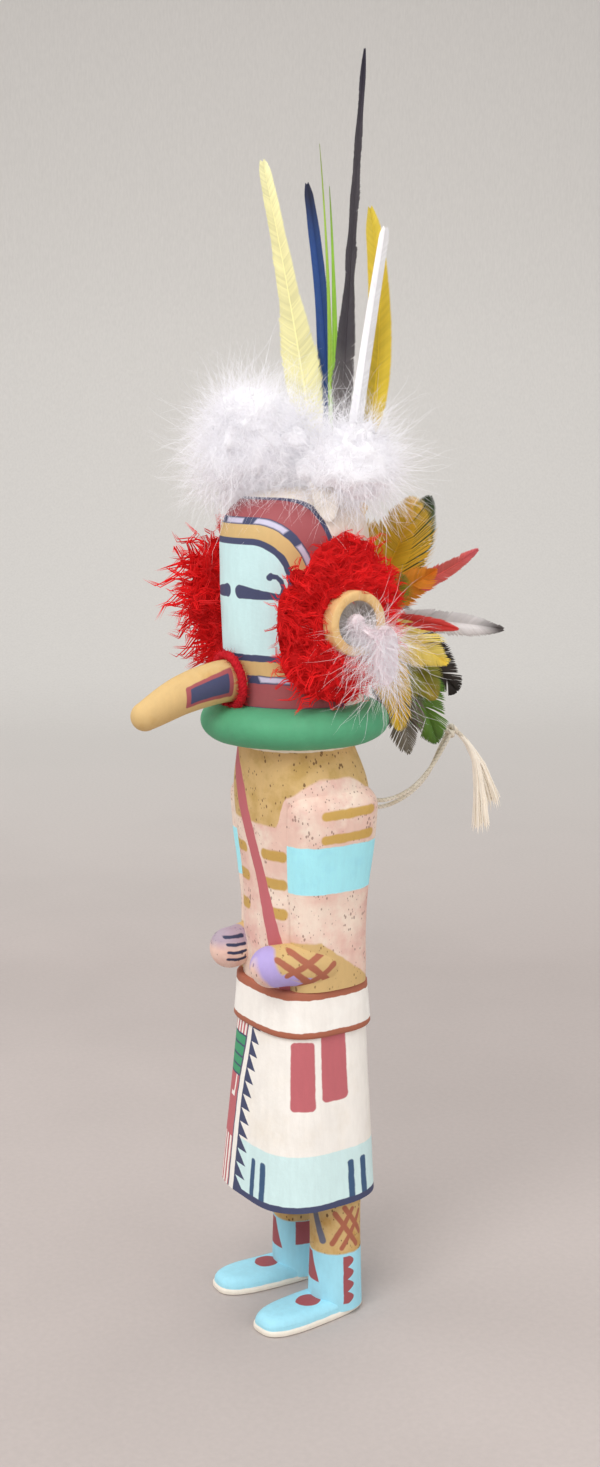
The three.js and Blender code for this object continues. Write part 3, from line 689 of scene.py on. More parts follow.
def twine_material(colour):
    """Two twisted plies: painted shade runs round the string in the groove between them, by its own marks."""
    finish = Paint("cotton_twine", colour, roughness=0.8)
    ply = add_node(finish.tree, "ShaderNodeAttribute", {}, attribute_name="ply")
    groove = finish.math("ABSOLUTE", finish.math("SINE", ply.outputs["Fac"]))
    # Painted shade: the groove between the plies is darker.
    painted_shade = tuple(c * 0.55 for c in colour)
    finish.lay(finish.math("SUBTRACT", groove, 0.32), painted_shade, 0.25, 0.8)
    finish.cloud(tone("cotton_shade"), 160.0, 0.6)
    return finish.finish(0.5, 1.0)


def twine(spline, steps=150):
    """A strand of twine along a spline, grooved between its two plies, and its middle line."""
    centres = [spline.at(i / steps) for i in range(steps + 1)]
    rings = []
    ply = []
    side = Vector((1, 0, 0))
    run = 0.0
    for i, centre in enumerate(centres):
        side, other = square_to(spline.heading(i / steps), side)
        run += (centre - centres[i - 1]).length if i else 0
        twist = run * 2 * math.pi / PLY_PITCH
        row = []
        for turn in circle(12):
            radius = TWINE_RADIUS * (0.86 + 0.14 * abs(math.cos(turn - twist)))
            row.append(rim(centre, side, other, turn, radius))
            ply.append(turn - twist + math.pi / 2)
        rings.append(row)
    draft = Draft("ply")
    draft.loft(rings, ply=ply + [0.0, 0.0])
    return draft, centres


def knot():
    """The knot: one closed, crossing loop of the same twine."""
    count = 72
    loop = []
    for i in range(count + 1):
        t = i / count * 2 * math.pi
        loop.append(KNOT + Vector((1.25 * math.sin(2 * t), 1.5 * math.cos(t) + 0.5 * math.cos(3 * t),
                                   1.5 * math.sin(t) - 0.4 * math.sin(3 * t))))
    rings = []
    ply = []
    side = Vector((0.2, 0.4, 1))
    for i in range(count):
        heading = (loop[i + 1] - loop[i - 1 if i else count - 1]).normalized()
        side, other = square_to(heading, side)
        rings.append([rim(loop[i], side, other, turn, KNOT_RADIUS) for turn in circle(10)])
        ply += [turn - i * KNOT_PLY_TURN for turn in circle(10)]
    draft = Draft("ply")
    draft.loft(rings, ply=ply + [0.0, 0.0])
    return draft


def fray(spline, end, count=44):
    """The loose threads of a strand's last third."""
    heading = spline.heading(1.0)
    brush = Draft("along", "shade")
    for _ in range(count):
        spread = Vector([random.uniform(-1, 1) for _ in range(3)])
        spread -= heading * spread.dot(heading)
        spread.normalize()
        reach = random.uniform(-1, 3)
        path = []
        wide = random.uniform(0.5, 1.2)
        for t in (0.7, 0.76, 0.82, 0.88, 0.94, 1.0):
            away = 0.4 + 2.3 * wide * ((t - 0.7) / 0.3) ** 1.4
            waver = Vector([random.uniform(-0.25, 0.25) for _ in range(3)])
            path.append(spline.at(t) + spread * away + waver)
        path.append(end + heading * reach + spread * wide * 3.2 + Vector((0, 0, -1.5)))
        brush.strand(path, [0.24, 0.27, 0.28, 0.27, 0.24, 0.2], 4, along=0.5, shade=random.random())
    return brush


class KACHINA_OT_string(bpy.types.Operator):
    """Hanging string: two twisted strands, their knot and frayed ends"""

    bl_idname = "kachina.string"
    bl_label = "Hanging string"

    def execute(self, context):
        twisted = twine_material(colours()["twine"])
        plain = fibre_material("cotton_fray", *[tone("cotton_white")] * 3, 0.9, 0.0, 0.06, 0.1)
        random.seed(5)
        strands = []
        for name, route in (("string_left", LEFT_ROUTE), ("string_right", RIGHT_ROUTE)):
            spline = Spline(route)
            draft, centres = twine(spline)
            strands.append((name, draft.build(name + "_twine", [twisted], FIBRE_CREASE), centres, spline))
        knot_piece = knot().build("string_knot_twine", [twisted], FIBRE_CREASE)
        knot_piece = settle(knot_piece, "cotton", "string_knot")

        for name, piece, centres, spline in strands:
            brush = fray(spline, centres[-1])
            loose = settle(brush.build(name + "_fray", [plain], FIBRE_CREASE), "cotton")
            settle(piece, "cotton", name)
        return {"FINISHED"}


# How close the knife's marks lie, and the height above which there are any, so that the soles stay flat.
MARK_SCALE = 0.085
MARKS_FROM = 3.5


def carved(rings, slot, materials):
    """One carved form of the figure, uneven as if cut by hand."""
    depth = sizes().carving * 1000
    rough = []
    for row in rings:
        rough.append([p + noise.noise_vector(p * MARK_SCALE) * depth if p.z > MARKS_FROM else p for p in row])
    draft = Draft()
    draft.loft(rough, slot)
    return draft.build("carved_form", materials)


# The dome's fullness: a ball would have 2.
DOME_POWER = 2.5


def head_rings():
    rings = []
    for i in range(56):
        t = i / 55
        radius = 24 + (MASK_RADIUS - 24) * math.sin(t * math.pi / 2)
        rings.append(level(0, MASK_Y, lerp(RUFF_TOP - 5, DOME_BOTTOM, t), radius, radius, 2, 120))
    for i in range(1, 30):
        t = math.sin(i / 30 * math.pi / 2)
        radius = MASK_RADIUS * (1 - t ** DOME_POWER) ** (1 / DOME_POWER)
        rings.append(level(0, MASK_Y, DOME_BOTTOM + DOME_HEIGHT * t, radius, radius, 2, 120))
    rings.append(level(0, MASK_Y, HEAD_TOP, 2.0, 2.0, 2, 120))
    return rings


def ruff_rings():
    rings = []
    for i in range(1, 24):
        a = (i / 24 - 0.5) * math.pi
        radius = 33.3 - 10 * (1 - math.cos(a))
        rings.append(level(0, MASK_Y, RUFF_BOTTOM + 7.25 * (1 + math.sin(a)), radius, radius, 2, 120))
    return rings


def torso_rings():
    rings = []
    for i in range(100):
        t = i / 99
        chest = smoothstep(t, 0.4, 0.75)
        neck = smoothstep(t, 0.77, 1)
        half_width = lerp(lerp(21, 25, chest), 19.5, neck)
        half_depth = lerp(lerp(18.5, 21, chest), 19.5, neck)
        rings.append(level(0, lerp(1.5, -1, neck), TORSO_BOTTOM + 100 * t, half_width, half_depth,
                           2.6 - 0.5 * neck, 112))
    return rings


def kilt_rings():
    rings = [level(0, 0, HEM, 26.2, 23.2, 3, 128)]
    for i in range(52):
        t = i / 51
        rings.append(level(0, 2 * t, lerp(HEM + 0.5, WAIST, t), lerp(27.3, 22.6, t),
                           lerp(24.3, 19.9, t), 3, 128))
    return rings


def belt_rings():
    rings = []
    steps = [(BELT_BOTTOM, 0.5), (108.2, 1.2), (WAIST, 1.5)]
    steps += [(WAIST + 15.2 * i / 16, 1.5 - 1.1 * i / 16) for i in range(1, 17)]
    steps += [(124.5, 0.1), (BELT_TOP, -0.4)]
    for z, proud in steps:
        rings.append(level(0, 2, z, 22.6 + proud, 19.9 + proud, 3, 128))
    return rings


def upper_arm_rings(side):
    rings = []
    for i in range(60):
        t = i / 59
        full = smoothstep(t, 0.35, 1)
        rings.append(level(side * lerp(15, 17.5, full), 2.5, lerp(BELT_TOP, SHOULDER, t),
                           lerp(9, 10.5, full), lerp(15.5, 18, full), 2.4, 88))
    for i in range(1, 15):
        angle = i / 14 * 0.94 * math.pi / 2
        shrink = math.cos(angle)
        rings.append(level(side * (17.5 - 6 * (1 - shrink)), 2.5, SHOULDER + 11 * math.sin(angle),
                           10.5 * shrink, 18 * shrink, 2.4, 88))
    return rings


def spine_rings(spline, radius_at, steps, count=64, flat=1.0, rounds=()):
    """Rings square to a spline that lies in an upright plane, closed by a rounded end."""
    rings = []
    for i in range(steps + 1):
        t = i / steps
        heading = spline.heading(t)
        side = heading.cross(Vector((0, 0, 1))).normalized()
        up = side.cross(heading)
        radius = radius_at(t)
        rings.append(ring(spline.at(t), side * radius * flat, up * radius, 2, count))
    heading = spline.heading(1.0)
    side = heading.cross(Vector((0, 0, 1))).normalized()
    up = side.cross(heading)
    radius = radius_at(1.0)
    for turn in rounds:
        centre = spline.at(1.0) + heading * radius * math.sin(turn * math.pi / 2)
        shrink = radius * math.cos(turn * math.pi / 2)
        rings.append(ring(centre, side * shrink * flat, up * shrink, 2, count))
    return rings


def forearm_rings(side):
    z = 134.2
    spline = Spline([(side * 12, 11.5, z - 3), (side * 15, 3.5, z - 1.5), (side * 16, -9, z),
                     (side * 14, -20, z)])

    def radius_at(t):
        return lerp(lerp(6.16, 8.8, min(1, 2.2 * t)), 7.4, smoothstep(t, 0.5, 0.9))

    return spine_rings(spline, radius_at, 44, 72, 1.0, [i / 9 for i in range(1, 9)] + [0.97])


def leg_rings(side, back):
    rings = []
    for z in [2 + 51.8 * i / 50 for i in range(51)]:
        radius = lerp(10, 9.3, min(1, (z - 2) / 24.7))
        rings.append(level(side * LEG_X, back, z, radius, radius, 2, 88))
    return rings


def foot_rings(side, back):
    splay = math.radians(5)
    ahead = Vector((side * math.sin(splay), -math.cos(splay), 0))
    across = Vector((math.cos(splay) * side, math.sin(splay), 0))
    middle = Vector((side * LEG_X, back, 0)) + ahead * 12.4
    rings = []
    rows = [(0.0, 0.6), (0.25, 0.2), (0.5, 0.0), (1.0, 0.0), (1.6, 0.0), (1.95, 0.25), (SOLE, 0.45)]
    for i in range(1, 22):
        t = i / 21
        rows.append((SOLE + 4.1 * t, 0.55 + 4.2 * (1 - math.sqrt(max(0.0, 1 - t ** 2.4)))))
    for z, inset in rows:
        rings.append(ring(middle + Vector((0, 0, z)), across * (9.5 - inset), ahead * (22.4 - inset), 3, 112))
    return rings


# The face: half width, corner radius, top and sill of the mint, measured from the dome's foot, and
# the distances from its edge at which the bands round it end.
FACE_HALF = 23.6
FACE_CORNER = 13.3
FACE_TOP = 1.2
FACE_SILL = -36.0
OUTER_BANDS = ((19.4, "navy"), (17.9, "maroon"), (9.8, "navy"))
INNER_BANDS = ((7.0, "ochre"), (2.2, "navy"))
DASH_BAND = (7.45, 9.3)

# The hook that rises from the outer end of each eye, as places beside the nose and heights.
EYE_HOOK = ((18.6, 263.4), (20.3, 264.6), (20.9, 266.9), (20.2, 269.2), (18.6, 270.6), (16.4, 270.8))


def unroll_mask(p):
    """Measure v from the dome's foot along the wall and over the dome, and u round the head there."""
    flat = p.math("SQRT", p.math("MULTIPLY_ADD", p.x, p.x, p.math("MULTIPLY", p.y, p.y)))
    rise = p.math("MAXIMUM", p.math("SUBTRACT", p.z, DOME_BOTTOM), 0.0)
    draw = p.math("MAXIMUM", p.math("SUBTRACT", MASK_RADIUS, flat), 0.0)
    draw = p.math("MULTIPLY", draw, p.math("MULTIPLY", rise, 0.33, clamp=True))
    curve = p.math("POWER", p.math("ADD", p.math("POWER", rise, 1.535), p.math("POWER", draw, 1.535)), 0.6515)
    wall = p.math("MINIMUM", p.math("SUBTRACT", p.v, DOME_BOTTOM), 0.0)
    p.v = p.math("ADD", curve, wall)
    shake = p.noise(300.0, 1.0)
    p.u = p.math("ADD", p.math("MULTIPLY", p.turn, flat),
                 p.math("MULTIPLY_ADD", shake.outputs["Fac"], 0.8, -0.4))


def eye_strokes(p, way):
    """One eye: a tapering bar and a hook with a knob at its end."""
    def at(u, v):
        return (1.3 + way * u, v - DOME_BOTTOM)

    strokes = [p.stroke(at(3.7, 265.1), at(19.2, 263.9), 2.35, 1.35)]
    for start, end in zip(EYE_HOOK, EYE_HOOK[1:]):
        strokes.append(p.stroke(at(*start), at(*end), 0.78))
    strokes.append(p.stroke(at(*EYE_HOOK[-1]), at(15.9, 270.3), 1.05))
    return strokes


def head_paint(c):
    p = Paint("paint_head", tone("bare_head"), MASK_RADIUS, (0, MASK_Y), 0.35)
    unroll_mask(p)
    out_u = p.math("MAXIMUM", p.math("SUBTRACT", p.math("ABSOLUTE", p.u), FACE_HALF - FACE_CORNER), 0.0)
    out_v = p.math("MAXIMUM", p.math("SUBTRACT", p.v, FACE_TOP - FACE_CORNER), 0.0)
    corner = p.math("SQRT", p.math("MULTIPLY_ADD", out_u, out_u, p.math("MULTIPLY", out_v, out_v)))
    face = p.math("MAXIMUM", p.math("SUBTRACT", corner, FACE_CORNER), p.math("SUBTRACT", FACE_SILL, p.v))
    p.cloud(tone("bare_light"), 120.0, 0.8)
    for reach, paint in OUTER_BANDS:
        p.lay(p.math("SUBTRACT", face, reach), c[paint])
    swing = p.math("ARCTAN2", p.u, p.math("ADD", p.v, 14.0))
    step = p.math("SUBTRACT", p.math("MODULO", p.math("MULTIPLY_ADD", swing, 22.0, 105.0), 14.0), 7.0)
    p.lay(p.most(p.within(step, -4.7, 4.7), p.within(face, *DASH_BAND)), tone("lilac_dash"), 0.3)
    for reach, paint in INNER_BANDS:
        p.lay(p.math("SUBTRACT", face, reach), c[paint])
    p.lay(face, c["mint"])
    p.lay(p.least(*eye_strokes(p, 1), *eye_strokes(p, -1)), c["navy"])
    return p.finish()


def ruff_paint(c):
    p = Paint("paint_ruff", c["green"], 30.0, (0, MASK_Y))
    p.cloud(tuple(v * 0.8 for v in c["green"]), 70.0, 0.35)
    p.cloud(tuple(min(1, v * 1.2 + 0.02) for v in c["green"]), 130.0, 0.35, 0.5, 0.75)
    p.speckle(tone("green_fleck"), 500.0, 0.12, 0.5)
    p.lay(p.math("SUBTRACT", p.v, 212.1), tone("ruff_edge"))
    return p.finish()


def skin_ground(name, c, radius):
    """Bare pink paint with lighter and redder patches."""
    p = Paint(name, c["pink"], radius)
    p.cloud(tone("skin_light"), 75.0, 0.9, 0.42, 0.62)
    p.cloud(tone("skin_rose"), 110.0, 0.55, 0.52, 0.7)
    return p


def body_paint(c):
    p = skin_ground("paint_body", c, 21.0)
    front = p.math("ARCTAN2", p.x, p.math("ABSOLUTE", p.y))
    waver = p.noise(260.0, 2.0)
    u = p.math("MULTIPLY_ADD", front, 21.0, p.math("MULTIPLY_ADD", waver.outputs["Fac"], 0.8, -0.4))
    aside = p.math("ABSOLUTE", u)
    spot = p.spot(aside, p.v)
    bars = [p.stroke((p.arc(20), z), (p.arc(43), z), 1.95, 0.0, spot) for z in (173.0, 162.6, 152.0)]
    p.lay(p.least(*bars), tone("body_bar"), 0.35, 0.95)
    # Painted shade in the crease where the arm meets the body.
    crease = p.most(p.within(aside, p.arc(50.5), p.arc(53)), p.within(p.v, 124, 192))
    p.lay(crease, tone("arm_shadow"), 1.1, 0.6)
    p.speckle(tone("skin_fleck"), 860.0, 0.56, 0.62)
    # The cape's lower edge climbs in two eased steps on its way from the chest to the arm.
    edge = 183.6
    for start, run, rise in ((37, 11, 10.5), (44, 34, 6.5)):
        share = p.math("DIVIDE", p.math("SUBTRACT", aside, p.arc(start)), p.arc(run), clamp=True)
        eased = p.math("MULTIPLY", p.math("MULTIPLY", share, share),
                       p.math("MULTIPLY_ADD", share, -2.0, 3.0))
        edge = p.math("MULTIPLY_ADD", eased, rise, edge)
    cape = p.math("SUBTRACT", edge, p.v)
    p.lay(cape, c["ochre"], 0.5)
    p.cloud(tone("cape_shade"), 120.0, 0.75, 0.46, 0.66, cape)
    p.speckle(tone("cape_fleck"), 700.0, 0.55, 0.85, cape)
    slant = p.math("ADD", u, p.math("MULTIPLY_ADD", p.v, p.arc(1.0), p.arc(26 - 199)))
    p.lay(p.within(slant, -3.6, 3.9), c["strap"], 0.15)
    p.lay(p.math("SUBTRACT", 209.9, p.v), tone("neck_edge"))
    return p.finish()


def arm_paint(c):
    p = skin_ground("paint_arm", c, 24.0)
    p.speckle(tone("skin_fleck"), 860.0, 0.56, 0.62)
    aside = p.math("ABSOLUTE", p.u)
    spot = p.spot(aside, p.v)
    bars = [p.stroke((p.arc(79), z - 0.3), (p.arc(117), z + 0.2), 1.7, 0.0, spot) for z in (188.9, 180.4)]
    p.lay(p.least(*bars), tone("arm_bar"), 0.3, 0.95)
    off = p.math("SUBTRACT", aside, p.arc(92))
    edge = p.math("MULTIPLY_ADD", p.math("MULTIPLY", off, off), -0.0105, 200.6)
    cape = p.math("SUBTRACT", edge, p.v)
    p.lay(cape, c["ochre"], 0.5)
    p.cloud(tone("shoulder_shade"), 120.0, 0.7, 0.48, 0.66, cape)
    past = p.math("MAXIMUM", p.math("SUBTRACT", aside, p.arc(78)), 0.0)
    cuff = p.math("ADD", p.math("SUBTRACT", p.v, 142.5), p.math("MULTIPLY", past, 0.74))
    p.lay(cuff, c["ochre"], 0.4)
    p.speckle(tone("cuff_fleck"), 700.0, 0.5, 0.75, cuff)
    p.lay(p.within(p.v, 160.2, 177.4), tone("armband"), 0.15)
    p.cloud(tone("armband_shade"), 150.0, 0.5, 0.5, 0.7, p.within(p.z, 160.5, 177.0))
    return p.finish()


def forearm_paint(c, side):
    name = "paint_forearm_left" if side > 0 else "paint_forearm_right"
    p = skin_ground(name, c, 9.0)
    p.speckle(tone("fist_fleck"), 720.0, 0.56, 0.8)
    ahead = p.math("MULTIPLY", p.y, -1.0)
    spot = p.spot(ahead, p.v)
    outer = p.oval((6.2, 135.8), 20.8, 11.5, ahead)
    inner = p.oval((4.5, 137.3), 17.5, 8.8, ahead)
    if side > 0:
        p.lay(outer, c["violet"], 0.3)
        p.lay(inner, c["ochre"], 0.3)
        fingers = [p.stroke((19, 132.4), (8.5, 129.6), 1.0, 0.2, spot),
                   p.stroke((19, 130.0), (10.5, 127.6), 0.95, 0.2, spot)]
        p.lay(p.least(*fingers), c["violet"], 0.2)
        p.speckle(tone("cuff_fleck"), 700.0, 0.5, 0.75, inner)
        hatch = [p.stroke((21.0, 138.2), (8.0, 127.3), 1.15, 0.0, spot),
                 p.stroke((15.5, 140.2), (1.3, 127.9), 1.2, 0.0, spot),
                 p.stroke((18.0, 132.6), (5.0, 138.8), 1.1, 0.0, spot),
                 p.stroke((11.5, 127.4), (0.4, 134.6), 1.15, 0.0, spot)]
        p.lay(p.least(*hatch), c["rust"], 0.2)
    else:
        p.lay(p.math("SUBTRACT", 136.4, p.v), tone("fist_shade"), 1.6, 0.75)
        p.lay(p.most(p.math("SUBTRACT", ahead, 15.0), p.math("SUBTRACT", 130.0, p.v)), c["ochre"], 0.4)
        lines = [p.stroke((24.0, z), (17.5, z + 0.2), 0.55, 0.0, spot)
                 for z in (139.4, 136.8, 134.2, 131.6)]
        p.lay(p.least(*lines), tone("finger_line"), 0.15)
    return p.finish()


def belt_paint(c):
    p = Paint("paint_belt", c["cream"], 22.0, wobble=0.45)
    p.cloud(tone("belt_light"), 90.0, 0.8)
    p.lay(p.math("SUBTRACT", p.v, 110.4), c["rust"])
    p.lay(p.math("SUBTRACT", 121.9, p.v), c["rust"])
    return p.finish()


def kilt_paint(c):
    p = Paint("paint_kilt", c["cream"], 24.0, wobble=0.35)
    p.cloud(tone("kilt_light"), 60.0, 0.8)
    p.cloud(tone("kilt_shade"), 45.0, 0.5, 0.5, 0.72)
    hem = p.math("SUBTRACT", p.v, 65.4)
    p.lay(hem, c["pale"])
    quarter = p.arc(88)
    fold = p.math("MODULO", p.math("ADD", p.u, quarter * 4), quarter)
    strokes = [p.round_box(p.arc(low), p.arc(high), 44.0, 61.0, 1.0, fold)
               for low, high in ((12.2, 18.0), (24.6, 30.6))]
    p.lay(p.least(*strokes), tone("hem_stroke"), 0.2)
    p.lay(p.math("SUBTRACT", p.v, 47.3), c["navy"])
    half = p.arc(180)
    twice = p.math("MODULO", p.math("ADD", p.u, half * 2), half)
    bars = [p.round_box(p.arc(51.5), p.arc(72.5), 81.6, 106.5, 1.5, twice),
            p.round_box(p.arc(78.5), p.arc(104), 84.0, 112.0, 1.8, twice)]
    p.lay(p.least(*bars), c["strap"], 0.2)
    # The front panel leans, and s is nought at its two edges and below nought between them.
    slope = p.math("MULTIPLY_ADD", p.v, -p.arc(0.32), p.arc(14 + 105 * 0.32))
    along = p.math("ADD", p.u, p.math("MINIMUM", slope, p.arc(22)))
    s = p.math("SUBTRACT", p.math("ABSOLUTE", p.math("ADD", along, 10.5)), 10.5)
    cell = p.math("FRACT", p.math("DIVIDE", p.math("SUBTRACT", 204.0, p.z), 5.1))
    tooth = p.math("MULTIPLY_ADD", cell, 6.6, 4.1)
    p.lay(p.most(p.math("SUBTRACT", s, tooth), p.math("SUBTRACT", 47.0, p.v)), c["navy"], 0.12)
    p.lay(p.math("SUBTRACT", s, 3.3), c["cream"])
    p.lay(p.math("SUBTRACT", s, 0.1), c["navy"])
    inside = p.math("ADD", s, 0.65)
    weave = p.math("SINE", p.math("MULTIPLY", s, 2 * math.pi / 2.7))
    p.lay(inside, c["cream"])
    p.lay(p.most(inside, weave), c["strap"], 0.15)
    p.lay(p.most(inside, p.within(p.v, 63.6, 87.2)), c["strap"])
    p.lay(p.most(p.within(s, -3.6, -2.6), p.within(p.v, 79, 87.5)), c["cream"])
    p.lay(p.most(p.within(s, -6.0, -2.6), p.within(p.v, 78.4, 80.0)), c["cream"])
    p.lay(p.most(inside, p.within(p.v, 86.9, 102.9)), c["navy"])
    p.lay(p.most(p.math("ADD", s, 1.1), p.within(p.v, 87.6, 102.2)), tone("panel_green"))
    lines = [p.within(p.v, z - 0.35, z + 0.35) for z in (98.6, 94.4, 90.6)]
    p.lay(p.most(p.math("ADD", s, 1.0), p.least(*lines)), c["navy"])
    return p.finish()


def leg_paint(c, side, back):
    name = "paint_leg_left" if side > 0 else "paint_leg_right"
    p = Paint(name, c["sky"], 9.4, (side * LEG_X, back), 0.3)
    p.cloud(tuple(v * 0.88 for v in c["sky"]), 90.0, 0.45)
    knee = p.math("SUBTRACT", 24.2, p.v)
    edge = p.math("MULTIPLY_ADD", p.v, -p.arc(2.4), p.arc(50))
    flap = p.most(p.math("SUBTRACT", p.u, edge), p.within(p.v, 12.6, 23.4),
                  p.math("SUBTRACT", -p.arc(80), p.u))
    p.lay(flap, c["maroon"], 0.15)
    if side > 0:
        bite = p.math("ABSOLUTE", p.math("SINE", p.math("MULTIPLY", p.z, math.pi / 4.7)))
        wide = p.math("MULTIPLY_ADD", bite, 2.6, p.arc(86))
        scallop = p.most(p.math("SUBTRACT", p.u, wide), p.math("SUBTRACT", p.arc(75), p.u),
                         p.within(p.v, 5.0, 23.0))
        p.lay(scallop, c["maroon"], 0.15)
    else:
        p.lay(p.box(p.arc(52), p.arc(120), 15.0, 24.0), c["maroon"], 0.15)
    p.lay(knee, c["ochre"], 0.3)
    p.cloud(tone("knee_shade"), 150.0, 0.7, 0.46, 0.66, knee)
    p.speckle(tone("knee_fleck"), 700.0, 0.55, 0.85, knee)
    u = p.u if side > 0 else p.math("MULTIPLY", p.u, -1.0)
    spot = p.spot(u, p.v)
    ends = [((56, 40), (112, 26.8)), ((78, 42), (127, 30.5)), ((50, 28.5), (98, 41)), ((72, 26.6), (122, 39))]
    hatch = [p.stroke((p.arc(a[0]), a[1]), (p.arc(b[0]), b[1]), 0.98, 0.0, spot) for a, b in ends]
    p.lay(p.least(*hatch), c["rust"], 0.2)
    p.lay(p.stroke((p.arc(3), 40.0), (p.arc(27), 29.3), 1.5, 0.0, spot), tone("knee_line"), 0.2)
    return p.finish()


def foot_paint(c):
    p = Paint("paint_feet", c["sky"], 9.4, wobble=0.3)
    p.cloud(tuple(v * 0.9 for v in c["sky"]), 90.0, 0.4)
    aside = p.math("ABSOLUTE", p.x)
    shift = p.math("MULTIPLY", p.math("LESS_THAN", p.x, 0.0), LEFT_LEG_BACK - RIGHT_LEG_BACK)
    back = p.math("ADD", p.y, shift)
    waver = p.noise(300.0, 1.0)
    back = p.math("ADD", back, p.math("MULTIPLY_ADD", waver.outputs["Fac"], 1.6, -0.8))
    p.lay(p.oval((17.0, -6.2), 4.2, 4.6, aside, back), c["maroon"], 0.15)
    p.lay(p.math("SUBTRACT", p.v, 2.25), tone("sole_cream"), 0.12)
    return p.finish()


class KACHINA_OT_figure(bpy.types.Operator):
    """Carved figure: feet, legs, kilt, belt, body, arms, ruff and mask in one piece of wood"""

    bl_idname = "kachina.figure"
    bl_label = "Carved figure"

    def execute(self, context):
        c = colours()
        paints = {"head": head_paint(c), "ruff": ruff_paint(c), "body": body_paint(c), "belt": belt_paint(c),
                  "kilt": kilt_paint(c), "arm": arm_paint(c), "leg_left": leg_paint(c, 1, LEFT_LEG_BACK),
                  "leg_right": leg_paint(c, -1, RIGHT_LEG_BACK), "foot": foot_paint(c),
                  "forearm_left": forearm_paint(c, 1), "forearm_right": forearm_paint(c, -1)}
        materials = list(paints.values())
        slots = {part: index for index, part in enumerate(paints)}
        shapes = [(kilt_rings(), "kilt"), (torso_rings(), "body"), (belt_rings(), "belt"),
                  (ruff_rings(), "ruff"), (head_rings(), "head")]
        for side, word, back in ((1, "left", LEFT_LEG_BACK), (-1, "right", RIGHT_LEG_BACK)):
            shapes += [(upper_arm_rings(side), "arm"), (forearm_rings(side), "forearm_" + word),
                       (leg_rings(side, back), "leg_" + word), (foot_rings(side, back), "foot")]
        forms = [carved(rings, slots[part], materials) for rings, part in shapes]
        group = bpy.data.collections.new("carving")
        context.scene.collection.children.link(group)
        for form in forms[1:]:
            group.objects.link(form)
        cutter = Draft()
        cutter.loft([level(0, 15, z, 10, 2, 8, 32) for z in (287.8, 310)])
        middle = BUNCH_ROOT.z
        cutter.loft([ring(Vector((0, y, middle)), Vector((9, 0, 0)), Vector((0, 0, 9)), 2, 64)
                     for y in (BUNCH_ROOT.y, 34.0)])
        sockets = cutter.build("sockets", materials)
        join = forms[0].modifiers.new("join", "BOOLEAN")
        join.operand_type = "COLLECTION"
        join.collection = group
        join.operation = "UNION"
        join.solver = "EXACT"
        cut = forms[0].modifiers.new("cut", "BOOLEAN")
        cut.object = sockets
        cut.operation = "DIFFERENCE"
        cut.solver = "EXACT"
        graph = context.evaluated_depsgraph_get()
        mesh = bpy.data.meshes.new_from_object(forms[0].evaluated_get(graph))
        if len(mesh.vertices) < 20000:
            raise RuntimeError("the figure's forms did not join")
        mesh.name = "figure_carved"
        mesh.shade_smooth()
        mesh.set_sharp_from_angle(angle=math.radians(CREASE))
        for form in forms + [sockets]:
            bpy.data.objects.remove(form)
        bpy.data.collections.remove(group)
        figure = bpy.data.objects.new("figure_carved", mesh)
        context.scene.collection.objects.link(figure)
        settle(figure, "painted_wood", "figure")
        return {"FINISHED"}


def yarn_ring(heading):
    """Five twisted plies of yarn round the snout's root, and their fuzz."""
    plies = 5
    steps = 180
    sides = 8
    winding = 0.82
    yarn = Draft("along", "shade")
    random.seed(11)
    centre = Vector((0, -27.8, 234.1))
    side = Vector((1, 0, 0))
    up = side.cross(heading).normalized()

    def out_from(turn, out, forward):
        way = side * math.cos(turn) + up * math.sin(turn)
        return centre + way * (9.0 + out) + heading * forward

    for ply in range(plies):
        rings = []
        marks = []
        for turn in circle(steps):
            twist = turn * 9 + ply * 2 * math.pi / plies
            ahead = twist + 0.09
            middle = out_from(turn, winding * math.cos(twist), winding * math.sin(twist))
            soon = out_from(turn + 0.01, winding * math.cos(ahead), winding * math.sin(ahead))
            way = (soon - middle).normalized()
            other = way.cross(heading).normalized()
            third = way.cross(other)
            radius = 0.72 + 0.08 * math.sin(turn * 31 + ply)
            rings.append([rim(middle, other, third, a, radius) for a in circle(sides)])
            marks += [random.uniform(0.3, 0.8)] * sides
        faces = []
        for i in range(steps):
            low = i * sides
            high = (i + 1) % steps * sides
            for j in range(sides):
                k = (j + 1) % sides
                faces.append((low + j, low + k, high + k, high + j))
        yarn.add([point for row in rings for point in row], faces, 0, along=0.5, shade=marks)
    for _ in range(900):
        turn = random.uniform(0, 2 * math.pi)
        lean = random.uniform(0, 2 * math.pi)
        start = out_from(turn, 1.2 * math.cos(lean), 1.2 * math.sin(lean))
        out = (start - out_from(turn, 0, 0)).normalized()
        drift = Vector([random.uniform(-1, 1) for _ in range(3)])
        length = random.uniform(0.8, 1.9)
        path = [start + out * length * t + drift * 0.9 * t * t for t in (0, 0.5, 1)]
        yarn.strand(path, [0.09, 0.06], 3, along=0.5, shade=random.random())
    return yarn


def snout_paint(c):
    """Ochre with a framed panel on each side that follows the snout's droop."""
    p = Paint("paint_snout", c["ochre"], 7.4, wobble=0.25)
    p.cloud(tone("snout_shade"), 110.0, 0.5, 0.5, 0.7)
    ahead = p.math("MULTIPLY", p.y, -1.0)
    past = p.math("SUBTRACT", ahead, 18.0)
    spine = p.math("MULTIPLY_ADD", p.math("MULTIPLY", past, past), -0.0055, 234.8)
    lift = p.math("MULTIPLY", p.math("SUBTRACT", p.v, spine), p.math("MULTIPLY_ADD", ahead, 0.02, 0.2))
    p.lay(p.round_box(30.0, 48.0, -3.6, 4.5, 0.7, ahead, lift), c["maroon"], 0.15)
    p.lay(p.round_box(31.6, 46.3, -2.4, 3.3, 0.4, ahead, lift), c["navy"], 0.15)
    return p.finish()


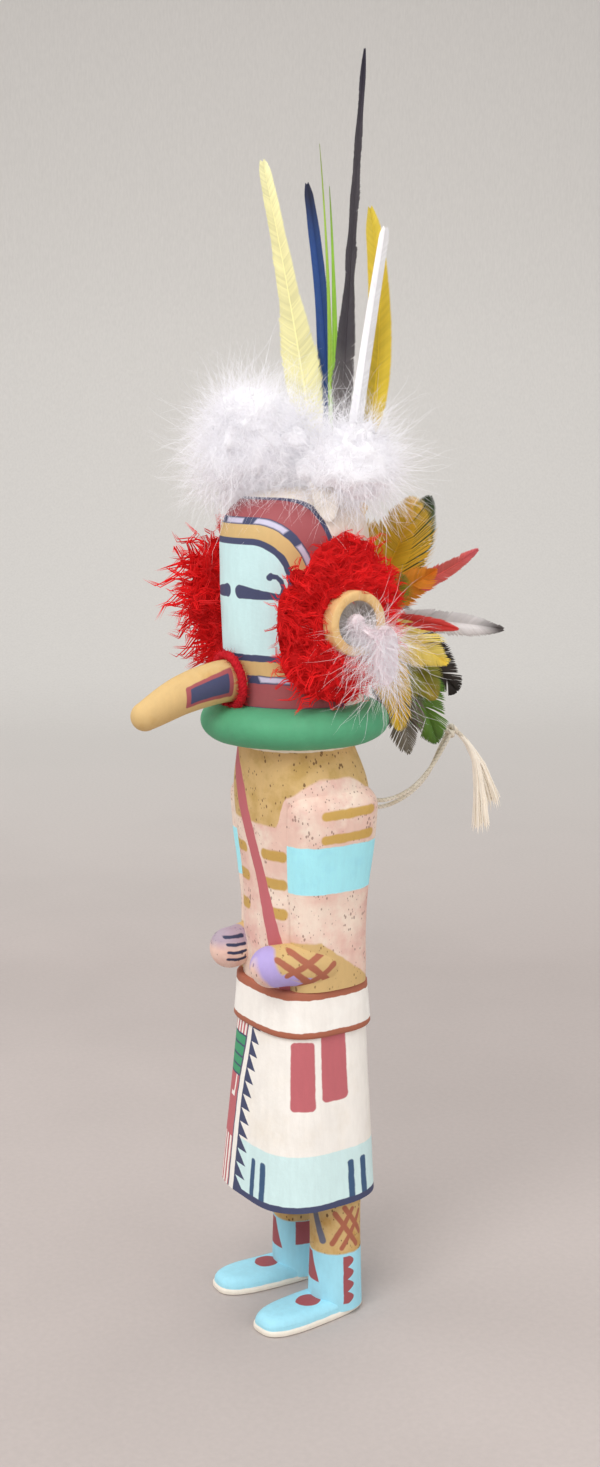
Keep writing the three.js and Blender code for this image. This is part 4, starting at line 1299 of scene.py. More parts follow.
class KACHINA_OT_snout(bpy.types.Operator):
    """Snout with its painted side panels and the yarn wound round its root"""

    bl_idname = "kachina.snout"
    bl_label = "Snout and yarn ring"

    def execute(self, context):
        spline = Spline([(0, -19.2, 234.6), (0, -32.8, 233.8), (0, -46.25, 230.7), (0, -60.5, 224.6)])
        draft = Draft()
        draft.loft(spine_rings(spline, lambda t: lerp(7.4, 5, t ** 3), 60, 72, 0.95,
                               [i / 12 for i in range(1, 12)] + [0.98]))
        settle(draft.build("snout_carved", [snout_paint(colours())]), "painted_snout", "snout")

        red = fibre_material("yarn_red", *[hex_colour(t) for t in ("B81222", "C41726", "CE2030")], 0.85)
        yarn = yarn_ring(spline.heading(0.3))
        settle(yarn.build("snout_yarn", [red], FIBRE_CREASE), "red_yarn", "snout_ring")
        return {"FINISHED"}


def turned(profile, side, y, z, count=96):
    """Rings about an axis that runs out sideways from the head; profile is (x, radius)."""
    return [ring(Vector((side * x, y, z)), Vector((0, radius, 0)), Vector((0, 0, radius)), 2, count)
            for x, radius in profile]


# The ear's turned outline as distances from the doll's middle and radii, and the ring at which its
# hollow starts.
EAR_PROFILE = ((20.8, 10.9), (21.2, EAR_RADIUS), (30, EAR_RADIUS), (38.6, EAR_RADIUS), (39.2, 10.75),
               (39.5, 10.2), (39.5, 8.4), (39.2, 7.85), (38.6, 7.6), (36, 7.5), (33.4, 7.3), (32.7, 6.8),
               (32.5, 5.5))
HOLLOW_RING = 8


class KACHINA_OT_ears(bpy.types.Operator):
    """Turned cup-shaped ears"""

    bl_idname = "kachina.ears"
    bl_label = "Ears"

    def execute(self, context):
        wood = Paint("paint_ear", tone("ear_wood"), EAR_RADIUS, wobble=0.3)
        wood.cloud(tone("ear_light"), 160.0, 0.8)
        wood.cloud(tone("ear_grain"), 240.0, 0.4, 0.5, 0.7)
        cup = Paint("paint_ear_cup", tone("cup_grey"), EAR_RADIUS)
        cup.cloud(tone("cup_shade"), 200.0, 0.8)
        materials = [wood.finish(0.35), cup.finish(0.5)]
        count = 96
        hollow = HOLLOW_RING * count
        caps = (len(EAR_PROFILE) - 1) * count
        for side, word in ((1, "left"), (-1, "right")):
            draft = Draft()
            draft.loft(turned(EAR_PROFILE, side, MASK_Y, EAR_Z, count))
            for index in range(hollow, len(draft.slots)):
                # Of the faces that close the two ends, every second one lies in the cup.
                if index < caps or (index - caps) % 2:
                    draft.slots[index] = 1
            piece = draft.build("ear_%s_turned" % word, materials)
            settle(piece, "ear_wood", "ear_%s" % word)
        return {"FINISHED"}


def tuft_tree():
    """Strands set out over a surface, leaning and turned at random, made real at the end."""
    tree = bpy.data.node_groups.new("tufts", "GeometryNodeTree")
    for name, kind in (("Geometry", "Geometry"), ("Strands", "Collection"), ("Density", "Float"),
                       ("Seed", "Int"), ("Shortest", "Float"), ("Longest", "Float"), ("Lean", "Float"),
                       ("Pull", "Vector"), ("Material", "Material")):
        tree.interface.new_socket(name=name, in_out="INPUT", socket_type="NodeSocket" + kind)
    tree.interface.new_socket(name="Geometry", in_out="OUTPUT", socket_type="NodeSocketGeometry")
    given = tree.nodes.new("NodeGroupInput").outputs

    def put(kind, inputs, **settings):
        return add_node(tree, kind, inputs, **settings).outputs

    spread = put("GeometryNodeDistributePointsOnFaces",
                 {"Mesh": given["Geometry"], "Density": given["Density"], "Seed": given["Seed"]})
    away = put("FunctionNodeRandomValue", {0: (-1, -1, -1), 1: (1, 1, 1), "Seed": given["Seed"]},
               data_type="FLOAT_VECTOR")
    leaned = put("ShaderNodeVectorMath", {0: away[0], "Scale": given["Lean"]}, operation="SCALE")
    added = put("ShaderNodeVectorMath", {0: spread["Normal"], 1: leaned[0]}, operation="ADD")
    pulled = put("ShaderNodeVectorMath", {0: added[0], 1: given["Pull"]}, operation="ADD")
    upright = put("FunctionNodeAlignRotationToVector", {"Vector": pulled[0]}, axis="Z")
    spin = put("FunctionNodeRandomValue", {0: (0, 0, 0), 1: (0, 0, 2 * math.pi), "Seed": given["Seed"]},
               data_type="FLOAT_VECTOR")
    turned_round = put("FunctionNodeRotateRotation", {"Rotation": upright[0], "Rotate By": spin[0]},
                       rotation_space="LOCAL")
    size = put("FunctionNodeRandomValue",
               {2: given["Shortest"], 3: given["Longest"], "Seed": given["Seed"]}, data_type="FLOAT")
    kinds = put("GeometryNodeCollectionInfo",
                {"Separate Children": True, "Reset Children": True, "Collection": given["Strands"]})
    strands = put("GeometryNodeInstanceOnPoints",
                  {"Pick Instance": True, "Points": spread["Points"], "Instance": kinds[0],
                   "Rotation": turned_round[0], "Scale": size[1]})
    shade = put("FunctionNodeRandomValue", {}, data_type="FLOAT")
    marked = put("GeometryNodeStoreNamedAttribute",
                 {"Name": "shade", "Geometry": strands[0], "Value": shade[1]},
                 data_type="FLOAT", domain="INSTANCE")
    real = put("GeometryNodeRealizeInstances", {"Geometry": marked[0]})
    dyed = put("GeometryNodeSetMaterial", {"Geometry": real[0], "Material": given["Material"]})
    add_node(tree, "NodeGroupOutput", {0: dyed[0]})
    return tree


def strand_kinds(name, count, seed, radius, wave, curl, rows=5, bundle=1, spread=0.0):
    """A few different strands one metre long along z, single or in bundles, which the tufts scale down."""
    random.seed(seed)
    group = bpy.data.collections.new(name)
    for index in range(count):
        phase = random.uniform(0, 6.28)
        lean = Vector((random.uniform(-1, 1), random.uniform(-1, 1), 0)) * curl
        path = []
        for row in range(rows + 1):
            t = row / rows
            sway = Vector((math.sin(phase + t * 9.5), math.cos(phase * 1.7 + t * 8.5), 0)) * wave * t
            path.append(Vector((0, 0, t)) * (1 - 0.15 * curl) + lean * t * t + sway)
        radii = [radius * (1 - 0.75 * (row / rows)) for row in range(rows)]
        draft = Draft("along")
        for fibre in range(bundle):
            turn = 2.4 * fibre
            aside = Vector((math.cos(turn), math.sin(turn), random.uniform(-0.5, 0.5))) * spread
            own = [p + aside * (1.1 - row / rows) + Vector((0, 0, aside.z * 2 * row / rows))
                   for row, p in enumerate(path)]
            draft.strand([p * 1000 for p in own], [r * 1000 for r in radii], 3,
                         along=[row / rows for row in range(rows)] + [1.0])
        made = draft.build("%s_%d" % (name, index), [], FIBRE_CREASE, show=False)
        # A strand starts at the origin and not at the doll's axis.
        for vertex in made.data.vertices:
            vertex.co.y -= AXIS_Y
        group.objects.link(made)
    return group


# One growth of strands on a skin. Lengths are in metres; shift moves the skin, ceiling is the height
# that it ends at before that, and core is the size of a second core in it.
Growth = namedtuple("Growth", "kinds count shortest longest lean pull seed shift ceiling core",
                    defaults=(None, None, None))

# Strands that reach further to the side than this, in metres, are pressed in.
SIDE_LIMIT = 0.056
SIDE_PRESS = 0.45


def lump(node, shrink, rough, keep_out):
    """A rounded copy of a node's solid, and the outward faces that may carry strands."""
    source = next(o for o in bpy.data.objects if o.name == node or o.get("node") == node)
    form = bmesh.new()
    form.from_mesh(source.data)
    bmesh.ops.remove_doubles(form, verts=form.verts, dist=1e-6)
    bmesh.ops.subdivide_edges(form, edges=form.edges, cuts=2, use_grid_fill=True)
    bmesh.ops.triangulate(form, faces=form.faces)
    for _ in range(3):
        bmesh.ops.smooth_vert(form, verts=form.verts, factor=0.5, use_axis_x=True, use_axis_y=True,
                              use_axis_z=True)
    form.normal_update()
    for vertex in form.verts:
        bumps = noise.noise(vertex.co * 150.0) * rough
        deep = shrink(vertex.co) if callable(shrink) else shrink
        vertex.co -= vertex.normal * (deep - bumps)
    form.normal_update()
    core = bpy.data.meshes.new(node + "_core")
    form.to_mesh(core)
    bare = [face for face in form.faces if keep_out(face.calc_center_median())]
    bmesh.ops.delete(form, geom=bare, context="FACES")
    skin = bpy.data.meshes.new(node + "_skin")
    form.to_mesh(skin)
    form.free()
    return core, skin


def moved_skin(whole, shift, ceiling):
    """The part of a skin below the ceiling, moved by shift."""
    skin = whole.copy()
    form = bmesh.new()
    form.from_mesh(skin)
    above = [face for face in form.faces if face.calc_center_median().z > ceiling]
    bmesh.ops.delete(form, geom=above, context="FACES")
    bmesh.ops.translate(form, verts=form.verts, vec=Vector(shift))
    form.to_mesh(skin)
    form.free()
    return skin


def second_core(core, shift, size):
    """A smaller copy of a core, moved by shift."""
    second = core.copy()
    middle = sum((v.co for v in second.vertices), Vector()) / len(second.vertices)
    second.transform(Matrix.Translation(middle + Vector(shift)) @ Matrix.Scale(size, 4)
                     @ Matrix.Translation(-middle))
    return second


def sprout(skin, tree, material, growth):
    """The strands of one growth on a skin, as a mesh."""
    area = sum(face.area for face in skin.polygons)
    bed = bpy.data.objects.new("bed", skin)
    bpy.context.scene.collection.objects.link(bed)
    grow = bed.modifiers.new("tufts", "NODES")
    grow.node_group = tree
    values = {"Strands": growth.kinds, "Density": growth.count / area, "Seed": growth.seed,
              "Shortest": growth.shortest, "Longest": growth.longest, "Lean": growth.lean,
              "Pull": growth.pull, "Material": material}
    for item in tree.interface.items_tree:
        if item.item_type == "SOCKET" and item.in_out == "INPUT" and item.name in values:
            grow[item.identifier] = values[item.name]
    bed.update_tag()
    graph = bpy.context.evaluated_depsgraph_get()
    strands = bpy.data.meshes.new_from_object(bed.evaluated_get(graph))
    bed.modifiers.remove(grow)
    bpy.data.objects.remove(bed)
    return strands


def tufted(name, node, material, core_material, tree, growths, shrink, rough, keep_out, extra=None):
    """A soft lump with its strands, and an extra object where there is one, joined into one mesh."""
    core, whole = lump(node, shrink, rough, keep_out)
    cores = bmesh.new()
    cores.from_mesh(core)
    merged = bmesh.new()
    for growth in growths:
        skin = whole
        if growth.ceiling:
            skin = moved_skin(whole, growth.shift, growth.ceiling)
        if growth.core:
            cores.from_mesh(second_core(core, growth.shift, growth.core))
        merged.from_mesh(sprout(skin, tree, material, growth))
    for face in merged.faces:
        face.material_index = 0
    first = len(merged.faces)
    cores.to_mesh(core)
    cores.free()
    merged.from_mesh(core)
    last = len(merged.faces)
    if extra:
        merged.from_mesh(extra.data)
    merged.faces.ensure_lookup_table()
    for index in range(first, len(merged.faces)):
        merged.faces[index].material_index = 1 if index < last else 2
    for vertex in merged.verts:
        past = abs(vertex.co.x) - SIDE_LIMIT
        if past > 0:
            vertex.co.x = math.copysign(SIDE_LIMIT + past * SIDE_PRESS, vertex.co.x)
    mesh = bpy.data.meshes.new(name)
    merged.to_mesh(mesh)
    merged.free()
    mesh.materials.append(material)
    mesh.materials.append(core_material)
    if extra:
        mesh.materials.append(extra.data.materials[0])
        bpy.data.objects.remove(extra)
    mesh.shade_smooth()
    made = bpy.data.objects.new(name, mesh)
    bpy.context.scene.collection.objects.link(made)
    return made


def near_head(centre, gap=1.4):
    """Whether a point lies in the mask, or within the gap in millimetres outside it."""
    x = centre.x * 1000
    y = (centre.y - AXIS_Y) * 1000 - MASK_Y
    z = centre.z * 1000
    flat = math.hypot(x, y)
    if z < DOME_BOTTOM:
        return flat < MASK_RADIUS + gap
    rise = (z - DOME_BOTTOM) / (DOME_HEIGHT + gap)
    return rise < 1 and flat < (MASK_RADIUS + gap) * (1 - rise ** DOME_POWER) ** (1 / DOME_POWER)


def near_ear(centre, gap=1.2):
    """Whether a point lies in an ear, or within the gap in millimetres round it."""
    y = (centre.y - AXIS_Y) * 1000 - MASK_Y
    z = centre.z * 1000 - EAR_Z
    return abs(centre.x) > 0.02 and math.hypot(y, z) < EAR_RADIUS + gap


class KACHINA_OT_wool(bpy.types.Operator):
    """Red wool at both sides of the head"""

    bl_idname = "kachina.wool"
    bl_label = "Red wool"

    def execute(self, context):
        wool = colours()["wool"]
        tree = bpy.data.node_groups.get("tufts") or tuft_tree()
        locks = strand_kinds("wool_locks", 9, 3, 0.027, 0.17, 0.45, 4, 4, 0.11)
        # Painted shade and light: the roots and the core are darker and the tips lighter, as light falls on
        # the outside of the lump; both also glow with painted light.
        painted_shade = tuple(v * 0.9 for v in wool)
        light = tuple(min(1, v * 1.08 + 0.02) for v in wool)
        red = fibre_material("wool_red", painted_shade, wool, light, 1.0, 0.0, 0.15, MATT)
        core = fibre_material("wool_red_core", painted_shade, painted_shade, painted_shade, 1.0, 0.0, 0.12, MATT)
        longest = sizes().wool_length

        def thin(spot):
            """The wool lies further back beside the eye than below it."""
            forward = -(spot.y - AXIS_Y) * 1000
            ahead = smoothstep(forward, 3, 15)
            away = math.hypot(forward + MASK_Y, spot.z * 1000 - EAR_Z)
            deep = 0.003 + ahead * lerp(-0.002, 0.0098, smoothstep(spot.z * 1000, 242, 256))
            return lerp(-0.0016, deep, smoothstep(away, 13, 19))

        for side, word, count, share, pull in ((1, "left", 1450, 0.95, (0.1, 0.85, -0.1)),
                                               (-1, "right", 1260, 1.25, (-0.25, 0.2, -0.1))):
            growths = [Growth(locks, count, longest * share * 0.45, longest * share, 0.85, pull, 7)]
            if side > 0:
                growths.append(Growth(locks, 60, longest * 0.9, longest * 1.35, 0.4, (0, -1.3, 0.2), 12,
                                      (0, 0, 0), 0.243))
            else:
                growths.append(Growth(locks, 250, longest, longest * 2.1, 0.6, (-0.3, -0.7, 0), 8))
            piece = tufted("wool_%s_locks" % word, "wool_%s" % word, red, core, tree, growths, thin, 0.0026,
                           lambda centre: near_head(centre) or near_ear(centre))
            settle(piece, "red_wool", "wool_%s" % word)
        return {"FINISHED"}


# Height in metres below which the crown's down has its second and third layers, and how far each
# layer is moved from the first.
DOWN_CEILING = 0.345
BESIDE = (-0.003, -0.0045, -0.004)
BETWEEN = (-0.006, -0.0095, -0.003)
OVER = (-0.0105, -0.0155, 0.006)


def crown_growths(barbs, wisps, longest, count, hanging, share, shift, over):
    """The growths of one lump of the crown: standing and hanging down, and what fills in beside it."""
    growths = [Growth(barbs, count, longest * 0.25, longest * share, 1.0, (0, 0, 0.05), 21),
               Growth(wisps, 420, longest * 0.7, longest * 1.5, 0.7, (0.1, 0, 0), 22),
               Growth(barbs, hanging, longest * 0.5, longest * 1.1, 0.8, (0.2, -0.1, -1.3), 24),
               Growth(wisps, 240, longest * 0.9, longest * 1.6, 0.8, (0.2, -0.1, -1.1), 23)]
    if shift:
        growths += [Growth(barbs, count * 0.72, longest * 0.3, longest * 0.9, 1.0, (0, 0, -0.1), 25,
                           shift, DOWN_CEILING, 0.52),
                    Growth(wisps, 220, longest * 0.7, longest * 1.4, 0.8, (0, 0, -0.3), 26,
                           shift, DOWN_CEILING),
                    Growth(wisps, 110, longest * 1.2, longest * 1.9, 0.6, (0.35, 0.25, 0.5), 27)]
    if over:
        growths += [Growth(barbs, 900, longest * 0.4, longest * 1.0, 1.0, (0, 0, 0.1), 28,
                           over, DOWN_CEILING, 0.34),
                    Growth(wisps, 160, longest * 0.8, longest * 1.5, 0.7, (0, 0, 0.5), 29,
                           over, DOWN_CEILING)]
    return growths


def cream_tips():
    """Two short cream feathers that show below the down on the doll's left."""
    pale = fibre_material("down_vane", *[hex_colour(t) for t in ("F3ECE2", "F5EDE2", "F6EEE6")], 0.7, 0.1)
    short = Draft("along", "shade")
    for index, (base, tip, width) in enumerate((((9, 2, 308), (26.5, -4.5, 289), 9),
                                                ((8, 8, 307), (23, 4, 294), 8))):
        base, tip = Vector(base), Vector(tip)
        widths = [(0.1, 3), (0.4, width), (0.8, width), (1, width * 0.8)]
        feather(short, base, tip, (base + tip) / 2 + Vector((4, -2, 3)), Vector((0.6, -0.35, 0.7)),
                widths, 60 + index, 0.1, 0.25)
    return short.build("cream_tips", [pale], VANE_CREASE)


def sunk(spot):
    """How deep the down's core lies at a place: deeper towards its top, and close on the head below."""
    z = spot.z * 1000
    ahead = smoothstep(-(spot.y - AXIS_Y) * 1000, 12, 40)
    aside = smoothstep(spot.x * 1000, 8, 22) * smoothstep(z, 306, 326)
    return lerp(0.0005, 0.0062 + 0.004 * ahead + 0.004 * aside, smoothstep(z, 299, 318))


class KACHINA_OT_down(bpy.types.Operator):
    """White down on the crown and hanging from the ears"""

    bl_idname = "kachina.down"
    bl_label = "Down"

    def execute(self, context):
        down = colours()["down"]
        tree = bpy.data.node_groups.get("tufts") or tuft_tree()
        barbs = strand_kinds("down_barbs", 8, 9, 0.0038, 0.05, 0.5, 3)
        wisps = strand_kinds("down_wisps", 7, 10, 0.003, 0.035, 0.45, 6)
        # The down and its core glow with painted light.
        white = fibre_material("down_white", down, down, down, 0.9, 0.0, 0.11, 0.1)
        core = fibre_material("down_core", down, down, down, 0.9, 0.0, 0.12, 0.1)
        # Painted reflection: the roots of the ear's down are tinted pink, as by light from the red wool
        # beside them; the down also glows with painted light.
        pink = tuple(v * t for v, t in zip(down, (1.0, 0.87, 0.88)))
        reflected_red_down = fibre_material("ear_down_white", pink, down, down, 0.9, 0.0, 0.06, 0.1)
        longest = sizes().down_length
        for word, count, hanging, share, shift, over, extra in (
                ("front", 3700, 1100, 1.0, BESIDE, None, None),
                ("left", 3200, 1300, 1.1, BETWEEN, OVER, cream_tips()),
                ("right", 1500, 400, 0.9, None, None, None)):
            growths = crown_growths(barbs, wisps, longest, count, hanging, share, shift, over)
            piece = tufted("crown_down_%s_barbs" % word, "crown_down_%s" % word, white, core, tree, growths,
                           sunk, 0.0055, lambda centre: near_head(centre, -1.0), extra)
            settle(piece, "white_down", "crown_down_%s" % word)
        for word, count in (("left", 1900), ("right", 1200)):
            growths = [Growth(barbs, count, longest * 0.25, longest * 1.0, 0.8, (0, -0.15, -0.6), 31),
                       Growth(wisps, 520, longest * 0.7, longest * 1.7, 0.9, (0, 0.15, -1.0), 32)]
            piece = tufted("ear_down_%s_barbs" % word, "ear_down_%s" % word, reflected_red_down, reflected_red_down, tree, growths,
                           0.0058, 0.0016, lambda centre: abs(centre.x) < 0.034)
            settle(piece, "white_down", "ear_down_%s" % word)
        return {"FINISHED"}


# Share of the quill at which the last barbs leave it.
LAST_BARB = 0.985


def feather(draft, base, tip, control, face, widths, seed, ragged=0.12, tip_round=0.12, halves=(0.0, 0.0),
            curl=0.1):
    """A quill with two rows of barbs, set side by side into a vane; widths are (share, width) pairs.

    halves darkens or lightens the two halves of the vane, and curl lifts the barbs' ends.
    """
    random.seed(seed)
    gap = sizes().barb_gap * 1000
    span = (tip - base).length
    first = widths[0][0]

    def at(t):
        return base * (1 - t) ** 2 + control * 2 * t * (1 - t) + tip * t * t

    def heading(t):
        return ((control - base) * (1 - t) + (tip - control) * t).normalized()

    def half(t):
        value = widths[-1][1]
        for (t0, w0), (t1, w1) in zip(widths, widths[1:]):
            if t <= t1:
                value = lerp(w0, w1, smoothstep(t, t0, t1) * 0.4 + 0.6 * max(0, (t - t0) / (t1 - t0)))
                break
        past = max(0.0, (t - 1 + tip_round) / tip_round)
        return max(0.2, value * math.sqrt(max(0.0, 1 - past * past))) / 2

    def reaching(start, sweep):
        """Where along the quill a barb from start meets the vane's edge, found by halving."""
        ahead = (start + 1) / 2
        bracket = (1 - start) / 4
        for _ in range(10):
            ahead += bracket if ahead < start + half(ahead) * sweep / span else -bracket
            bracket /= 2
        return ahead

    rows = 16
    centres = [at(i / rows) for i in range(rows + 1)]
    thick = [lerp(0.55, 0.1, i / rows) for i in range(rows)]
    draft.strand(centres, thick, 6, along=[i / rows for i in range(rows + 1)], shade=0.95)
    step = gap / span * 1.1
    for index_side, side in enumerate((1, -1)):
        t = first * 0.9
        split = random.random() * 9
        hold = 0.0
        while t < LAST_BARB:
            t += step * random.uniform(0.85, 1.15)
            split -= 1
            if split < 0:
                split = random.uniform(5, 16)
                hold = random.uniform(-1, 1) * ragged
            start = min(t, LAST_BARB)
            sweep = lerp(0.85, 1.25, smoothstep(start, 0.5, 1.0))
            reach = half(reaching(start, sweep))
            # The barbs of one split piece of the vane share a hold, which turns them together.
            ahead = min(1.0, start + reach * (sweep + hold) / span)
            reach *= 1 + 0.5 * hold * random.random()
            across = heading(ahead).cross(face).normalized() * side
            out = across.cross(heading(ahead)).normalized() * side
            end = at(ahead) + across * reach
            root = at(start)
            lift = out * (curl * reach * (1 + hold * 3))
            end = end - lift * 0.5
            along_quill = heading(start)
            wide = gap * 0.66
            spots = [root, root.lerp(end, 0.42) - along_quill * reach * 0.07 + lift * 0.9,
                     root.lerp(end, 0.86) - along_quill * reach * 0.025 + lift * 0.6, end]
            points = []
            marks = []
            tone = min(1.0, max(0.0, 0.5 + random.uniform(-0.2, 0.2) + hold * 1.2 + halves[index_side]))
            for index, spot in enumerate(spots[:-1]):
                flat = wide * (1.0, 1.2, 1.1)[index]
                points += [spot - along_quill * flat, spot + along_quill * flat, spot + out * 0.16]
                marks += [start] * 3
            points.append(end)
            marks.append(ahead)
            faces = [(2, 1, 0)]
            for row in (0, 3):
                for i in range(3):
                    j = (i + 1) % 3
                    faces.append((row + i, row + j, row + 3 + j, row + 3 + i))
            faces += [(6, 7, 9), (7, 8, 9), (8, 6, 9)]
            draft.add(points, faces, 0, along=marks, shade=tone)


# Slot across the crown, tip above the head's top, bend, widths by share of length, tones, raggedness,
# roundness of the tip and the lightness of the two halves of the vane.
PLUMES = {
    "cream": (-6, (-29.5, 4.5, 112.8), (3, 0, 6),
              ((0.12, 5), (0.36, 14.0), (0.44, 13.6), (0.52, 11.0), (0.6, 8.2), (0.69, 7.2), (0.77, 6.0),
               (0.85, 5.6), (0.94, 4.8), (1, 3.8)), ("F3F0C4", "F2ECB0", "F3EFB8"), 0.16, 0.05, (0, -0.1)),
    "navy": (-4, (-27, 21.5, 106.2), (8, 2, 0),
             ((0.18, 3), (0.4, 5.8), (0.5, 6.2), (0.66, 5.0), (0.84, 4.6), (0.95, 3.6), (1, 2.4)),
             ("17203E", "1F3F80", "1B1F38"), 0.03, 0.05, (-0.45, 0.35)),
    "green_long": (-2, (-15.5, 19.3, 118.4), (5, 1, 0),
                   ((0.1, 1), (0.35, 2.2), (0.6, 1.3), (0.8, 0.7), (1, 0.3)), ("86B03A", "9CC04A", "8A9A52"),
                   0.02, 0.1, (0.1, -0.2)),
    "green_short": (0, (-11, 20.5, 103.6), (5, 0, 0),
                    ((0.1, 1), (0.35, 2.6), (0.6, 1.9), (0.8, 1.0), (1, 0.4)),
                    ("7AA636", "8FC13E", "7C9A44"), 0.02, 0.1, (0.1, -0.2)),
    "black": (2, (9.2, 21.2, 146.3), (-3, 1, 0),
              ((0.12, 3), (0.29, 8.4), (0.38, 7.0), (0.47, 4.8), (0.52, 3.5), (0.57, 4.1), (0.62, 3.1),
               (0.69, 3.5), (0.74, 2.6), (0.8, 3.0), (0.86, 2.1), (0.93, 2.2), (1, 0.9)),
              ("8A8482", "3D393F", "262230"), 0.3, 0.04, (0.25, -0.1)),
    "yellow": (4, (13, 20.8, 94), (14, 9, -8),
               ((0.1, 1.6), (0.23, 4.2), (0.33, 7), (0.42, 9.4), (0.52, 10), (0.62, 9.4), (0.72, 8.2),
                (0.82, 7.4), (0.92, 6), (1, 3.4)), ("CDB63A", "D9BC34", "D6BE3C"), 0.06, 0.07, (0.1, -0.1)),
    "white": (6, (26.8, 17.6, 85.7), (0, -1, 0),
              ((0.08, 4.4), (0.35, 5.2), (0.6, 4.6), (0.8, 4.1), (0.95, 3.7), (1, 3.2)),
              ("F4F4F8", "F6F6FA", "F8F7FA"), 0.02, 0.03, (-0.5, 0.4)),
}

# Turn from straight back and climb in degrees, length, width and tones from the quill's root to its tip.
BUNCH = {
    "mustard": (46, 62, 48, 26, ("BC982C", "DAAE28", "E4B82E")),
    "dark_green": (18, 54, 52, 18, ("59622A", "3A4F26", "26331E")),
    "pink_red": (34, 27, 52, 7, ("DE7A4E", "D25A54", "CF5A62")),
    "orange": (52, 28, 37, 12, ("C4A83A", "E8922C", "EC7C1C")),
    "bright_green": (74, 32, 30, 15, ("55852A", "6FA030", "8FA83C")),
    "long_grey": (24, -6, 58, 9, ("E6E3E2", "D6D2D2", "4A4544")),
    "red": (44, -6, 40, 5.5, ("B03A36", "C4342F", "C4302C")),
    "pale_yellow": (50, -24, 40, 17, ("F4E8AE", "ECD76A", "E8CC48")),
    "black": (10, -34, 54, 22, ("4A3A34", "2F2824", "1E1A16")),
    "olive": (36, -43, 44, 20, ("77762A", "8C8A2C", "A08C2E")),
    "green": (15, -54, 60, 22, ("70902E", "5F8A2C", "466C24")),
    "yellow": (76, -58, 46, 15, ("D0AE34", "E8C02E", "ECC636")),
    "grey": (40, -66, 55, 18, ("8A7F70", "6E6558", "7E7668")),
    "right_mustard": (-44, 58, 46, 20, ("BC982C", "DAAE28", "E4B82E")),
    "right_green": (-30, 34, 46, 15, ("55852A", "5F8A2C", "6E8A34")),
    "right_red": (-52, 14, 42, 9, ("B03A36", "C4342F", "C4302C")),
    "right_grey": (-24, -8, 50, 13, ("D2CECD", "A29C98", "6A6460")),
    "right_yellow": (-50, -30, 42, 16, ("D0AE34", "E8C02E", "ECC636")),
    "right_olive": (-24, -46, 50, 18, ("6F6E2A", "84822A", "96822A")),
    "right_black": (-58, -62, 48, 18, ("4A3A34", "2F2824", "221D18")),
}

# The finish that each feather's colour slot is named for.
FINISH_OF = {
    "cream": "cream", "pale_yellow": "cream", "navy": "navy", "green_long": "green",
    "green_short": "green", "bright_green": "green", "olive": "green", "right_green": "green",
    "right_olive": "green", "dark_green": "dark_green", "green": "dark_green", "black": "black",
    "right_black": "black", "yellow": "yellow", "mustard": "yellow", "right_mustard": "yellow",
    "right_yellow": "yellow", "white": "white", "pink_red": "red", "red": "red", "right_red": "red",
    "orange": "orange", "long_grey": "grey", "grey": "grey", "right_grey": "grey",
}


class KACHINA_OT_plumes(bpy.types.Operator):
    """Tall plumes in the slot of the crown"""

    bl_idname = "kachina.plumes"
    bl_label = "Tall plumes"

    def execute(self, context):
        turn = math.radians(40)
        face = Vector((math.sin(turn), -math.cos(turn), 0))
        for index, (name, values) in enumerate(PLUMES.items()):
            slot, tip, bend, widths, tones, ragged, tip_round, halves = values
            base = Vector((slot, 15, 288.1))
            end = Vector((tip[0], tip[1], tip[2] + HEAD_TOP))
            control = (base + end) / 2 + Vector(bend)
            draft = Draft("along", "shade")
            feather(draft, base, end, control, face, widths, 40 + index, ragged, tip_round, halves)
            dye = fibre_material("plume_%s_vane" % name, *[hex_colour(t) for t in tones], 0.55, 0.05)
            piece = draft.build("plume_%s_vane" % name, [dye], VANE_CREASE)
            settle(piece, "feather_" + FINISH_OF[name], "plume_" + name)
        return {"FINISHED"}


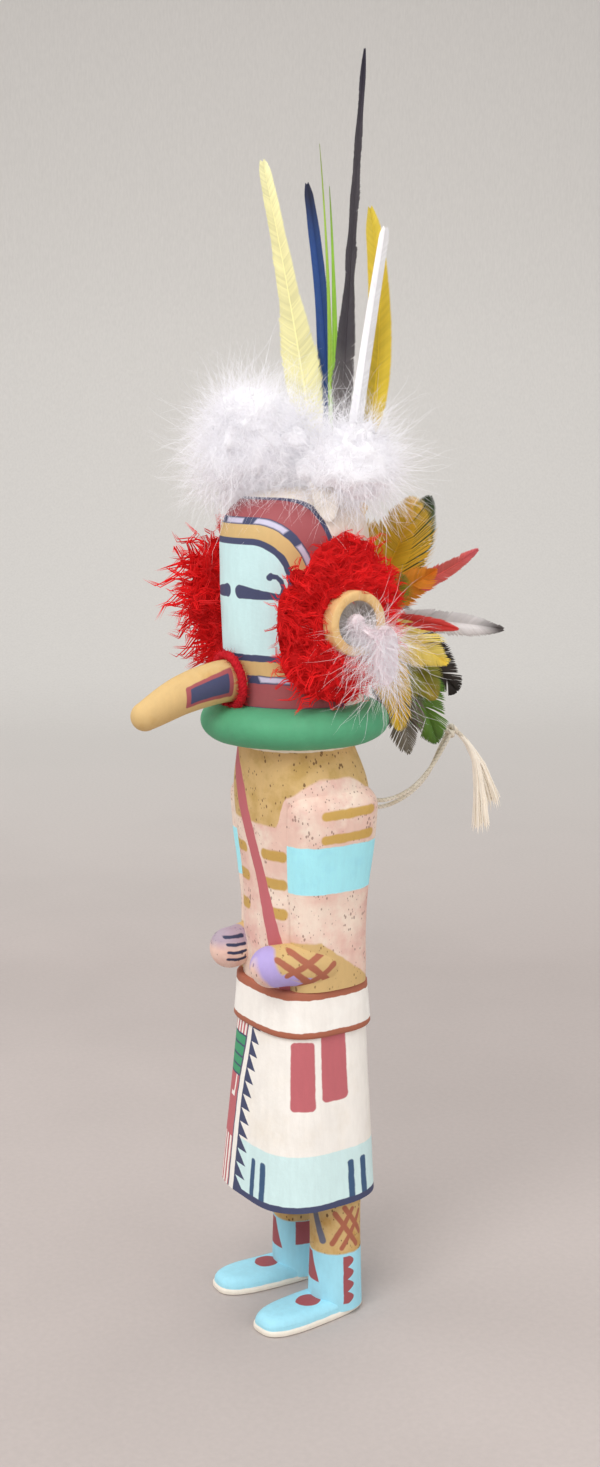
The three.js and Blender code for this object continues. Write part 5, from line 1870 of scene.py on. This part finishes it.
class KACHINA_OT_bunch(bpy.types.Operator):
    """Bunch of coloured feathers at the back of the head"""

    bl_idname = "kachina.bunch"
    bl_label = "Back feathers"

    def execute(self, context):
        for index, (name, (side, rise, length, width, tones)) in enumerate(BUNCH.items()):
            turn = math.radians(side)
            climb = math.radians(rise)
            flat = math.cos(climb)
            reach = Vector((math.sin(turn) * flat, math.cos(turn) * flat, math.sin(climb)))
            base = BUNCH_ROOT + Vector((reach.x, 0, reach.z)) * 5.58 + Vector((0, 0.3, 0))
            end = BUNCH_ROOT + reach * length
            control = (base + end) / 2 + Vector((0, 0.3 * length, 0)) - (end - base) * 0.25
            face = Vector((math.copysign(0.86, side), -0.45, 0.2))
            widths = [(0.12, width * 0.15), (0.3, width * 0.7), (0.55, width), (0.75, width * 0.92),
                      (1, width * 0.62)]
            draft = Draft("along", "shade")
            feather(draft, base, end, control, face, widths, 80 + index, 0.34, 0.28, (0.12, -0.12), 0.25)
            dye = fibre_material("back_%s_vane" % name, *[hex_colour(t) for t in tones], 0.5, 0.05)
            piece = draft.build("back_%s_vane" % name, [dye], VANE_CREASE)
            settle(piece, "feather_" + FINISH_OF[name], "back_" + name)
        return {"FINISHED"}


class KACHINA_PT_panel(bpy.types.Panel):
    """Sizes, colours and building steps of the doll"""

    bl_label = "Kachina Doll"
    bl_idname = "KACHINA_PT_panel"
    bl_space_type = "VIEW_3D"
    bl_region_type = "UI"
    bl_category = "Kachina Doll"

    def draw(self, context):
        column = self.layout.column()
        for key in DollSizes.__annotations__:
            column.prop(context.scene.kachina_sizes, key)
        for key in DollColours.__annotations__:
            column.prop(context.scene.kachina_colours, key)
        for operator in OPERATORS:
            column.operator(operator.bl_idname)


OPERATORS = (KACHINA_OT_stage, KACHINA_OT_string, KACHINA_OT_figure, KACHINA_OT_snout, KACHINA_OT_ears,
             KACHINA_OT_wool, KACHINA_OT_down, KACHINA_OT_plumes, KACHINA_OT_bunch)
CLASSES = (DollColours, DollSizes, *OPERATORS, KACHINA_PT_panel)


def register():
    for item in CLASSES:
        bpy.utils.register_class(item)
    bpy.types.Scene.kachina_colours = bpy.props.PointerProperty(type=DollColours)
    bpy.types.Scene.kachina_sizes = bpy.props.PointerProperty(type=DollSizes)


def unregister():
    del bpy.types.Scene.kachina_sizes
    del bpy.types.Scene.kachina_colours
    for item in reversed(CLASSES):
        bpy.utils.unregister_class(item)


def main():
    register()
    for operator in OPERATORS:
        group, name = operator.bl_idname.split(".")
        getattr(getattr(bpy.ops, group), name)()
    bpy.context.view_layer.update()


if __name__ == "__main__":
    main()
